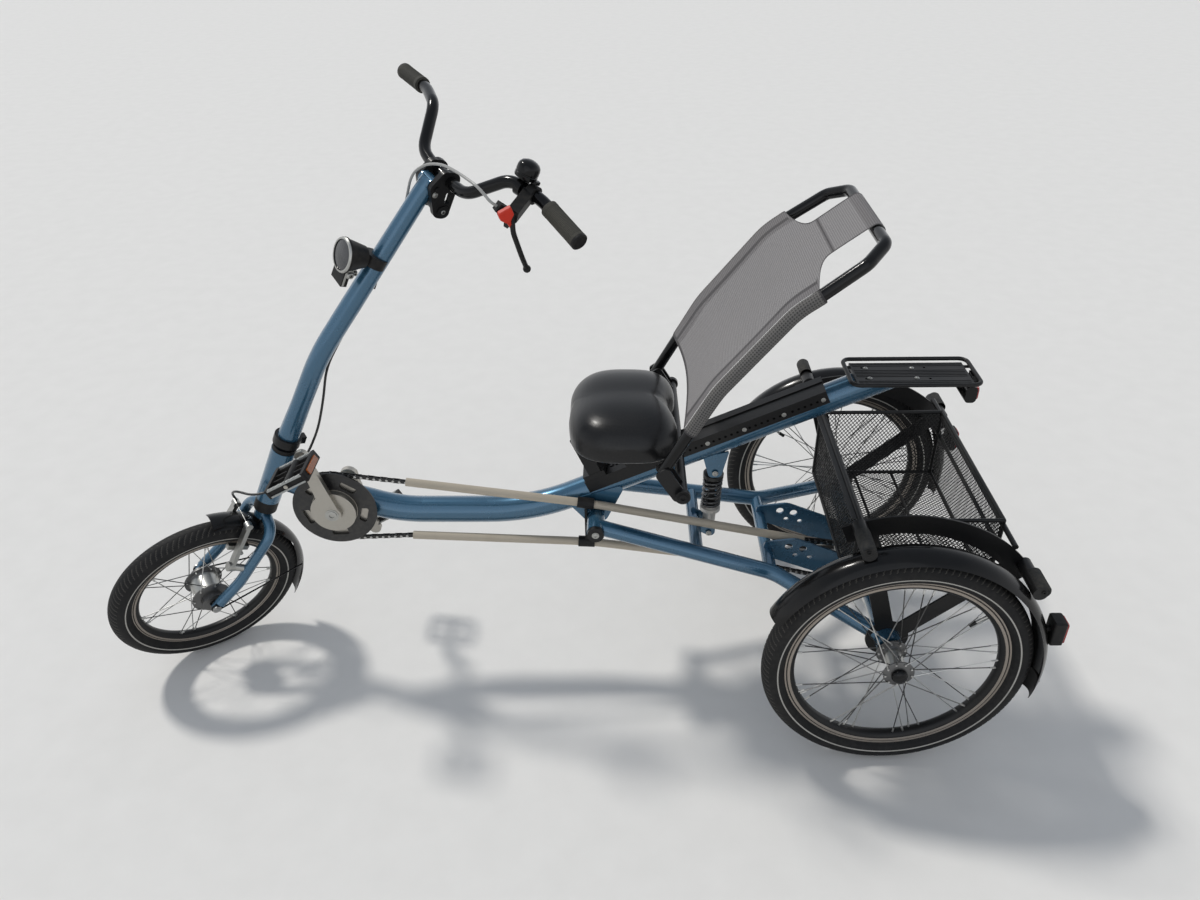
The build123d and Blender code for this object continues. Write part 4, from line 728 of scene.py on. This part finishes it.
def sleeveSkins(s, side, out, spots):
    # a ribbed tube of cloth round each side tube: radius = tube + proud, rippled along its length
    angle = np.linspace(0, tau, 37)[None]
    ends = np.clip(np.minimum(spots - spots[0], spots[-1] - spots) / 0.004, 0, 1)
    radius = s["tube"] + 0.0005 + (s["proud"] - 0.0005) * ends + s["ripple"] * np.sin(spots * 1600)
    ring = np.cos(angle)[..., None] * out[:, None] + np.sin(angle)[..., None] * vec([0, 1.0, 0])
    grid = side[:, None] + radius[:, None, None] * ring
    tone = np.where((ends < 1)[:, None], 1.0, 2.0) + 0 * angle
    uv = stacked(spots[:, None], angle * 0.0125)
    return [skin(grid + (0, sign * s["half"], 0), uv, tone=tone) for sign in (-1, 1)]


sideTube = bent([(x, 0, z) for x, z in backrest["side"]], backrest["bends"])
spots = np.linspace(backrest["sleeveFrom"], backrest["sleeveTo"], 150)
side = resampled(sideTube, spots)
run = unit(np.gradient(side, axis=0))
out = stacked(run[:, 2], 0, -run[:, 0])
clothSurfaces = [sheetSkin(backrest, side, out, spots)] + sleeveSkins(backrest, side, out, spots)
backCloth = build("backrestCloth", clothSurfaces, "frame", [cloth], ["back_mesh"], crease=60,
                  closed=False)
print("backrest built")

# Basket
basket = dict(front=-0.579, rear=-0.844, top=0.485, low=0.326, half=0.196, cell=0.0086, tall=0.0053,
              strand=0.0023, wire=0.0009, rail=0.0042, rearBar=0.430, brace=0.003, braceIn=0.09,
              lip=(0.022, 0.0012), hanger=0.005, frontReach=0.2555, rearReach=0.264, guardRadius=0.2993,
              guardSlope=74)


def expanded(origin, across, up, wide, tall, s):
    # rows of zigzag strips whose peaks meet the next row's, so that they leave diamonds
    rows = max(2, int(round(tall / s["tall"])))
    count = int(round(wide / s["cell"])) * 2 + 1
    step = np.arange(count)
    across, up = vec(across), vec(up)
    made = []
    for row in range(rows):
        line = (row + 0.5) * tall / rows + ((step + row) % 2 - 0.5) * tall / rows
        band = np.stack([line - s["strand"] / 2, line + s["strand"] / 2])
        spot = np.broadcast_to(step * wide / (count - 1), band.shape)
        made.append(skin(vec(origin) + spot[..., None] * across
                         + np.clip(band, 0, tall)[..., None] * up))
    return made


def basketSkins(s):
    # the floor and the four walls, each a sheet of zigzag strips
    f, r, t, b, h = s["front"], s["rear"], s["top"], s["low"], s["half"]
    made = expanded((r, -h, b), (0, 1, 0), (1, 0, 0), 2 * h, f - r, s)
    for x in (r, f):
        made += expanded((x, -h, b), (0, 1, 0), (0, 0, 1), 2 * h, t - b, s)
    for y in (-h, h):
        made += expanded((r, y, b), (1, 0, 0), (0, 0, 1), f - r, t - b, s)
    return made


def basketRails(s):
    # the edges, two braces under the floor, a bar and a lip, and the two bars that rest on the guards' arches
    f, r, t, b, h = s["front"], s["rear"], s["top"], s["low"], s["half"]
    loop = [(f, h), (r, h), (r, -h), (f, -h), (f, h)]
    made = [rod((*p, z), (*q, z), s["rail"], 10) for z in (t, b) for p, q in zip(loop, loop[1:])]
    made += [rod((x, y, b), (x, y, t), s["rail"], 10) for x in (f, r) for y in (-h, h)]
    made += [rod((x, -h, b), (x, h, b), s["brace"], 8) for x in (f - s["braceIn"], r + s["braceIn"])]
    made.append(rod((r, -h, s["rearBar"]), (r, h, s["rearBar"]), s["rail"], 10))
    wide, half = s["lip"]
    made.append(plate(wide, 2 * h, 0.004, -half, half, (f + 0.004, 0, t + 0.004)))
    frontZ = rearAxle["z"] + (f - rearAxle["x"]) * tan(radians(s["guardSlope"]))
    rearZ = rearAxle["z"] + sqrt(s["guardRadius"] ** 2 - (r - rearAxle["x"]) ** 2)
    made += [rod((x, -reach, z), (x, reach, z), s["hanger"])
             for x, reach, z in ((f, s["frontReach"], frontZ), (r, s["rearReach"], rearZ))]
    return made


basketMesh = build("basketMesh", basketSkins(basket), "frame", [powder], closed=False)
wall = basketMesh.modifiers.new("thickness", "SOLIDIFY")
wall.thickness = basket["wire"]
build("basketFrame", basketRails(basket), "frame", [powder], ["basket"])
print("basket built")

# Chain
chain = dict(pitch=0.0127, side=0.044, waist=0.22, gaps=(0.0021, 0.0030), pin=0.0028, pinHalf=0.0043)
chainRuns = (
    dict(top=(0.297, 0.472), centre=(0.449, 0.412), radius=0.0812, low=(0.298, 0.337), way=1),
    dict(top=(-0.516, 0.320), centre=(-0.648, 0.250), radius=0.0498, low=(-0.386, 0.268), way=-1))


def chainLine(top, centre, radius, low, way):
    # a straight run to the wheel, the arc round it on the far side, and a straight run back
    def touch(spot, hand):
        d = vec(spot) - centre
        return atan2(d[1], d[0]) + hand * acos(radius / np.linalg.norm(d))

    start, end = touch(top, -way), touch(low, way)
    a = start + np.linspace(0, 1, 60) * ((end - start) * -way % tau * -way)
    arc = stacked(centre[0] + radius * np.cos(a), centre[1] + radius * np.sin(a))
    return np.concatenate([[top], arc, [low]])


def chainSkins(s):
    # pairs of dark waisted plates, narrow and wide by turns, with a bright pin through each joint
    shape = roundRect(s["pitch"] + 0.0078, 0.0078, 0.0038, 3)
    shape[:, 1] *= 1 - s["waist"] * np.exp(-(shape[:, 0] / 0.003) ** 2)
    link = slab(shape, -0.0005, 0.0005, 0.0002)
    made = []
    for run in chainRuns:
        flat = chainLine(**run)
        line = stacked(flat[:, 0], s["side"], flat[:, 1])
        whole = lengths(line)[-1]
        pins = resampled(line, np.linspace(0, whole, int(whole / s["pitch"]) + 1))
        for i, (p, q) in enumerate(zip(pins, pins[1:])):
            long = unit(q - p)
            for sign in (-1, 1):
                spot = (p + q) / 2 + vec([0, sign * s["gaps"][i % 2], 0])
                made.append(placed(link, spot, long, np.cross(long, (0, 1, 0))))
            made.append(rod(p + (0, -s["pinHalf"], 0), p + (0, s["pinHalf"], 0), s["pin"], 8, 1))
    return made


build("chainLinks", chainSkins(chain), "frame", [dark, steel], ["chain"])
print("chain built")

# Damper spring
spring = dict(top=(-0.327, 0, 0.474), low=(-0.321, 0, 0.322), start=0.0223, length=0.0734, turns=6.5,
              wire=0.0034, radius=0.0172, closeUp=0.055)


def springSkin(s):
    # a helix about the damper whose pitch closes up at both ends
    t = np.linspace(0, 1, 400)
    run = unit(vec(s["low"]) - vec(s["top"]))
    side = unit(np.cross(run, (0, 1, 0)))
    eased = t - s["closeUp"] * np.sin(tau * t)
    place = s["start"] + s["wire"] + eased * (s["length"] - 2 * s["wire"])
    a = t * s["turns"] * tau
    circle = np.cos(a)[:, None] * side + np.sin(a)[:, None] * np.cross(run, side)
    return tube(vec(s["top"]) + place[:, None] * run + s["radius"] * circle, s["wire"], 10, run)


build("damperSpring", [springSkin(spring)], "frame", [coil], ["shock_spring"])

# Pedals
pedal = dict(tilt=28, long=0.096, half=0.041, teeth=7, toothRow=0.036, ribs=(-0.030, -0.010, 0.010, 0.030),
             boss=((0.0075, 0), (0.0075, 0.0018), (0.005, 0.003), (0, 0.003)),
             spindle=((0, -0.043), (0.009, -0.043), (0.010, -0.038), (0.0085, 0.030), (0.010, 0.040),
                      (0, 0.041)))


def pedalSkins(s):
    # a black body with ribs, a pale toothed cage at each side, amber reflectors at both ends, and the spindle
    long, half = s["long"], s["half"]
    made = []
    for end in (-1, 1):
        x = end * long / 2
        made.append(plate(0.008, 2 * half, 0.003, -0.010, 0.010, (x - end * 0.006, 0, 0)))
        face = (x - end * 0.0005, 0, 0)
        made.append(plate(0.052, 0.012, 0.002, -0.002, 0.002, face, **towardsFront, mat=1))
        made += [plate(0.030, 0.003, 0.001, -0.007, 0.007, (end * 0.026, y, 0)) for y in s["ribs"]]
    for y in (-half + 0.003, half - 0.003):
        made.append(plate(long - 0.018, 0.004, 0.0015, -0.0085, 0.0085, (0, y * 0.98, 0)))
        made += [plate(long - 0.012, 0.006, 0.0025, low, low + 0.0035, (0, y, 0), mat=2)
                 for low in (-0.009, 0.0055)]
        made.append(along((0, y * 0.97, 0), (0, y * 2, 0), s["boss"], 24, 2))
        made += [plate(0.005, 0.005, 0.001, 0.0085, 0.0099, (x, y, 0), mat=2)
                 for x in np.linspace(-s["toothRow"], s["toothRow"], s["teeth"])]
    return made + [lathe(s["spindle"], 24)]


tilt = radians(pedal["tilt"])
for name, joint in (("Left", "left_pedal_spin"), ("Right", "right_pedal_spin")):
    turned = [placed(p, joints[joint]["pos_m"], (cos(tilt), 0, -sin(tilt))) for p in pedalSkins(pedal)]
    build("pedal" + name, turned, joints[joint]["child"], [matt, orange, cage],
          ["pedal_" + name.lower()])
print("pedals built")

# Seat rail: ribs along its top, and silver screws with a row of small holes on both sides, the holes painted
# near-black as the shade inside them
rail = dict(foot=(0.05, 0, 0.371), slope=24.25, top=0.0302, first=0.145, last=0.600, half=0.030,
            ribs=(0.0125, 0.0185, 0.0255), screws=(0.400, 0.477, 0.558, 0.637), screwUp=0.0172,
            holes=(0.300, 0.628, 0.0125), holeClear=0.007,
            hole=((0, 0.0002), (0.0016, 0.0002), (0.0022, 0.0005), (0.0026, 0)))
railFoot, railSlope = vec(rail["foot"]), radians(rail["slope"])
railRun = vec([-cos(railSlope), 0, sin(railSlope)])
railUp = vec([railRun[2], 0, -railRun[0]])


def onRail(place, y, up):
    return railFoot + railRun * place + railUp * up + (0, y, 0)


def railSkins(s):
    # ribs as long thin plates on both sides of the middle, then screws and small dished holes along a line,
    # the dishes painted near-black as the shade inside the holes
    middle = (s["first"] + s["last"]) / 2
    made = [plate(s["last"] - s["first"], 0.0022, 0.0009, -0.0006, 0.0009, onRail(middle, sign * y, s["top"]),
                  railRun, (0, 1, 0), railUp, edge=0.0004, steps=3)
            for y in s["ribs"] for sign in (-1, 1)]
    for sign in (-1, 1):
        way = (0, sign, 0)
        made += [screw(onRail(place, sign * s["half"], s["screwUp"]), way, 0.0034, mat=1)
                 for place in s["screws"]]
        for place in np.arange(*s["holes"]):
            if np.abs(vec(s["screws"]) - place).min() > s["holeClear"]:
                spot = onRail(place, sign * s["half"], s["screwUp"])
                made.append(along(spot, spot + way, s["hole"], 14, 2))
    return made


build("railTrim", railSkins(rail), "frame", [dark, silver, holeShade])

# Rack and tail light
rack = dict(top=0.6891, middle=-0.690, long=0.210, ribs=(0, 0.006, 0.012, 0.030, 0.036),
            screwsX=(-0.6085, -0.6970), screwY=0.020, lens=(-0.8130, 0.657), lensSize=(0.054, 0.027),
            domes=(-0.016, 0, 0.016), dome=((0.0075, 0), (0.0065, 0.0022), (0.003, 0.003), (0, 0.0032)))


def rackSkins(s):
    # thin ribs along the deck, and screws through it
    made = [plate(s["long"], 0.0026, 0.0009, -0.0003, 0.0007, (s["middle"], sign * y, s["top"]), edge=0.0003,
                  steps=3)
            for y in s["ribs"] for sign in ((-1, 1) if y else (1,))]
    return made + [screw((x, sign * s["screwY"], s["top"]), (0, 0, 1), 0.0034, mat=1)
                   for x in s["screwsX"] for sign in (-1, 1)]


def tailSkins(s):
    # a flat lens with a row of low domes turned about its direction
    x, z = s["lens"]
    cover = plate(*s["lensSize"], 0.006, 0, 0.0042, (x, 0, z), **towardsRear, edge=0.001)
    return [cover] + [along((x - 0.003, y, z), (x - 1, y, z), s["dome"], 24) for y in s["domes"]]


build("rackTrim", rackSkins(rack), "frame", [powder, silver])
build("tailLens", tailSkins(rack), "frame", [red])

# Rear guards: bumper ends with their bolts, red reflectors, and mud flaps held by two screws each
guards = dict(crown=0.274, bumper=0.294, bumperAngles=(72, 140), bumperEnd=0.343, middle=0.325,
              bumperCap=((0.0132, -0.052), (0.0137, -0.05), (0.0137, -0.003), (0.0125, -0.0005),
                         (0.009, 0.0003), (0.0088, -0.001), (0, -0.001)),
              reflector=(0.024, 0.034, 0.054), reflectorAngle=163, flap=(0.050, 0.046), flapAngle=186,
              flapThick=0.0018, screwY=0.010)


def guardSpot(radius, angle, y):
    angle = radians(angle)
    return vec([rearAxle["x"] + radius * cos(angle), y, rearAxle["z"] + radius * sin(angle)])


def guardSkins(s, sign):
    # turned bumper ends, plates for the reflector, and a flap: a sheet that narrows by 25% * t^2 downwards
    # and curls forward by 8 mm * across^2 at its sides
    made = []
    for angle in s["bumperAngles"]:
        end = guardSpot(s["bumper"], angle, sign * s["bumperEnd"])
        way = vec([0, sign, 0])
        made += [along(end, end + way, s["bumperCap"], 32, 3), screw(end - way * 0.001, way, 0.0042, 0.003)]
    deep, wide, tall = s["reflector"]
    spot = guardSpot(s["crown"] + deep / 2 + 0.004, s["reflectorAngle"], sign * s["middle"])
    made += [plate(deep, wide, 0.004, -tall / 2, tall / 2, spot, edge=0.003),
             plate(wide - 0.005, tall - 0.008, 0.004, 0, 0.003, spot - (deep / 2, 0, 0), **towardsRear, mat=1,
                   edge=0.001),
             rod(guardSpot(s["crown"] - 0.001, s["reflectorAngle"] - 2, sign * s["middle"]), spot, 0.006)]
    low = guardSpot(s["crown"] - 0.004, s["flapAngle"], sign * s["middle"])
    wide, long = s["flap"]
    tip = low + (0.004, 0, -long)
    t = np.linspace(0, 1, 14)[:, None]
    across = np.linspace(-1, 1, 15)[None]
    half = wide / 2 * (1 - 0.25 * t ** 2)
    front = stacked(low[0] + (tip[0] - low[0]) * t + 0.008 * across ** 2, low[1] + half * across,
                    low[2] + (tip[2] - low[2]) * t)
    back = front + (-s["flapThick"], 0, 0)
    made.append(skin(np.concatenate([front, back[::-1], front[:1]])))
    return made + [screw(low + (-0.0022, y, -0.008), (-1, 0, 0), 0.003, mat=2)
                   for y in (-s["screwY"], s["screwY"])]


for name, sign in sides.items():
    build("guardTrim" + name, guardSkins(guards, sign), "frame", [matt, red, silver, bumper],
          closed=False)

# Head lamp, laid out in the fork's space
lamp = dict(up=0.850, front=0.009, rim=0.0300, glass=0.0288, reflector=(-0.004, 0.813), face=(0.036, 0.030))


def lampSkins(s):
    # a bezel and a low domed glass turned about the lamp's axis, and a square reflector in its frame below
    here, ahead = (s["front"], 0, s["up"]), (1, 0, s["up"])
    rim, glass = s["rim"], s["glass"]
    bezel = [(rim + 0.0022, -0.0045), (rim + 0.0026, 0), (rim + 0.001, 0.0022), (rim - 0.002, 0.0024),
             (glass, 0.0004)]
    made = [along(here, ahead, bezel, 64),
            along(here, ahead, [(glass, 0.0004), (0.022, 0.0016), (0.012, 0.0026), (0, 0.0030)], 64, 1)]
    x, z = s["reflector"]
    for grown, low, high, mat in ((0.006, -0.002, 0.002, 0), (0, 0.001, 0.003, 1)):
        wide, tall = (size + grown for size in s["face"])
        made.append(plate(wide, tall, 0.004, low, high, (x + 0.006, 0, z), **towardsFront, mat=mat,
                          edge=0.0006))
    for sign in (-1, 1):
        made += [screw((x, sign * 0.0195, z + 0.010), (0, sign, 0), 0.0065, 0.008),
                 screw((-0.020, sign * 0.006, s["up"] - 0.03), (0, sign, 0), 0.0045, 0.008)]
    return made


build("lampTrim", inFork(lampSkins(lamp)), "steering", [silver, lens])

# Stem bolts, latch, grips and bell, also in the fork's space
stemBolts = dict(spots=((-0.140, 0.972), (-0.112, 1.002), (-0.134, 1.030)), half=0.0292)
latch = dict(middle=(-0.113, 0.2245, 1.0745), run=(-0.037, -0.006, -0.034), out=(0.3, 0.93, 0.1),
             thick=0.0038,
             outline=((-0.017, 0.0125), (-0.013, 0.0135), (0.002, 0.0135), (0.009, 0.007), (0.014, 0.0035),
                      (0.029, 0.002), (0.029, -0.002), (0.014, -0.0035), (0.009, -0.007), (0.000, -0.0115),
                      (-0.013, -0.0115), (-0.017, -0.009)))


def latchSkins(s):
    # a parking latch: a flat plate that narrows to a tail, lying on the lever's body
    run, out = unit(s["run"]), unit(s["out"])
    flat = slab(vec(s["outline"]), -s["thick"], s["thick"], 0.0012, mat=1)
    return [placed(flat, s["middle"], run, np.cross(out, run))]


stemScrews = [bolt for x, up in stemBolts["spots"]
              for bolt in screwPair(x, stemBolts["half"], up, 0.0042, 0.0035)]
build("stemTrim", inFork(stemScrews + latchSkins(latch)), "steering", [silver, latchRed])

grips = dict(corner=(-0.186, 0.208, 1.104), end=(-0.197, 0.316, 1.092), start=0.022, past=0.004,
             radius=0.0152, groove=0.0003, rings=24)


def gripSkin(s, sign):
    # rings of a waved profile: the radius falls by two groove depths between rings, and a plain collar and an
    # end cap close it
    corner, end = (vec(s[key]) * (1, sign, 1) for key in ("corner", "end"))
    start = corner + unit(end - corner) * s["start"]
    long = np.linalg.norm(end - start) + s["past"]
    place = np.linspace(0.010, long - 0.010, s["rings"] * 6)
    radius = s["radius"] - s["groove"] + s["groove"] * np.sin(place / (long - 0.02) * s["rings"] * tau)
    collar = s["radius"] + 0.0002
    rows = [(0.011, 0), (collar, 0.0006), (collar, 0.008), *zip(radius, place),
            (collar, long - 0.008), (collar, long - 0.006), (0.010, long - 0.006)]
    cap = [(0.010, long - 0.006), (collar, long - 0.006), (collar, long - 0.002), (s["radius"] - 0.002, long),
           (0, long)]
    return [along(start, end, rows, 40), along(start, end, cap, 40, 1)]


for name, sign in sides.items():
    build("grip" + name, inFork(gripSkin(grips, sign)), "steering", [gripRubber, matt],
          ["grip_" + name.lower()])

bell = dict(spot=(-0.1692, 0.1666, 1.1025), base=0.019, bar=(-0.307, 0.951, 0.028),
            clamp=((0.0114, -0.006), (0.0150, -0.006), (0.0150, 0.006), (0.0114, 0.006), (0.0114, -0.006)),
            drum=((0, 0), (0.0195, 0), (0.0200, 0.001), (0.0200, 0.0065), (0.0190, 0.0075), (0.0190, 0.0090),
                  (0.0200, 0.0100), (0.0200, 0.0175), (0.0188, 0.0220), (0.0155, 0.0262), (0.0090, 0.0295),
                  (0, 0.0308)))


def bellSkins(s):
    # a clamp round the bar, a foot, and a drum with a groove round it under a low dome, with its striker
    spot, base = vec(s["spot"]), s["base"]
    return [along(spot, spot + s["bar"], s["clamp"]),
            rod(spot + (0, 0, 0.0135), spot + (0, 0, base + 0.001), 0.006),
            along(spot + (0, 0, base), spot + (0, 0, 1), s["drum"], 48),
            plate(0.012, 0.009, 0.003, -0.003, 0.003, spot + (-0.006, 0.025, base + 0.004), edge=0.001),
            rod(spot + (0, 0, base + 0.003), spot + (-0.005, 0.022, base + 0.004), 0.0016, 8)]


build("bellDrum", inFork(bellSkins(bell)), "steering", [gloss], ["bell"])

# Bolts of the seat hinge, the pivot, the damper's eyes and the crank: x, y, z, radius and material
boltHeads = dict(
    frame=((-0.248, 0.2152, 0.553, 0.0085, 1), (-0.085, 0.109, 0.384, 0.0055, 0),
           (-0.327, 0.023, 0.474, 0.0045, 0), (-0.321, 0.023, 0.322, 0.0045, 0)),
    crank=((0.449, 0.0755, 0.412, 0.0105, 0),))
for body, rows in boltHeads.items():
    bolts = [bolt for x, y, z, radius, mat in rows for bolt in screwPair(x, y, z, radius, 0.003, mat)]
    build(body + "Bolts", bolts, body, [silver, matt])
print("small parts built")

# Camera, floor and light
viewpoint = dict(place=(-0.133, 1.597, 1.557), yaw=1.38, pitch=33.05, roll=-1.06, lens=28.3)


def makeCamera(v):
    # looks along f, which yaw turns about Z and pitch tips down, then rolls about f
    yaw, pitch, roll = (radians(v[key]) for key in ("yaw", "pitch", "roll"))
    f = vec([sin(yaw) * cos(pitch), -cos(yaw) * cos(pitch), -sin(pitch)])
    r = unit(np.cross(f, (0, 0, 1)))
    u = np.cross(r, f)
    right, top = cos(roll) * r + sin(roll) * u, cos(roll) * u - sin(roll) * r
    camera = addObject("camera", bpy.data.cameras.new("camera"))
    camera.data.lens = v["lens"]
    camera.data.sensor_width = 36
    basis = Matrix(np.stack([right, top, -f], 1).tolist()).to_4x4()
    camera.matrix_world = Matrix.Translation(v["place"]) @ basis
    bpy.context.scene.camera = camera


def makeLight(name, way, strength, spread, tint):
    # a sun whose light comes from a direction, with soft edges
    light = addObject(name, bpy.data.lights.new(name, "SUN"))
    light.data.energy = strength
    light.data.angle = radians(spread)
    light.data.color = tint
    light.matrix_world = Vector(way).to_track_quat("Z", "Y").to_matrix().to_4x4()


def makeFloor(half=30):
    # a flat pale square, a little lighter and darker in soft patches of noise
    mesh = bpy.data.meshes.new("floor")
    corners = [(-half, -half, 0), (half, -half, 0), (half, half, 0), (-half, half, 0)]
    mesh.from_pydata(corners, [], [(0, 1, 2, 3)])
    floor = addObject("floor", mesh)
    material = bpy.data.materials.new("paleFloor")
    material.use_nodes = True
    tree = material.node_tree
    tint = mixed(tree, noiseOf(tree, placeOf(tree), 14.0, 5.0), (0.72, 0.71, 0.69), (0.78, 0.77, 0.75))
    feed(tree, tree.nodes["Principled BSDF"], {"Base Color": tint, "Roughness": 0.9})
    mesh.materials.append(material)


def makeWorld():
    # a strength of 1 for the camera and for mirrored or refracted rays, and less of it as a light; it dims
    # overhead
    world = bpy.data.worlds.new("studio")
    world.use_nodes = True
    tree = world.node_tree
    rays = put(tree, "ShaderNodeLightPath", {}).outputs
    bounced = maths(tree, "MAXIMUM", rays["Is Glossy Ray"], rays["Is Transmission Ray"])
    seen = maths(tree, "MAXIMUM", rays["Is Camera Ray"], bounced)
    share = ranged(tree, axisOf(tree, placeOf(tree, "Generated"), 2), 0.05, 0.7)
    feed(tree, tree.nodes["Background"], {"Color": mixed(tree, share, (0.95, 0.97, 1.0), (0.4, 0.44, 0.5)),
                                          "Strength": ranged(tree, seen, 0.0, 1.0, 0.8, 1.0)})
    bpy.context.scene.world = world


makeCamera(viewpoint)
makeFloor()
makeWorld()
makeLight("key", (0.75, -0.55, 1.35), 1.9, 7, (1.0, 0.97, 0.92))
makeLight("fill", (0.2, 1.3, 0.8), 0.3, 60, (0.93, 0.96, 1.0))
bpy.context.scene.view_settings.view_transform = "Standard"

print("scene finished")
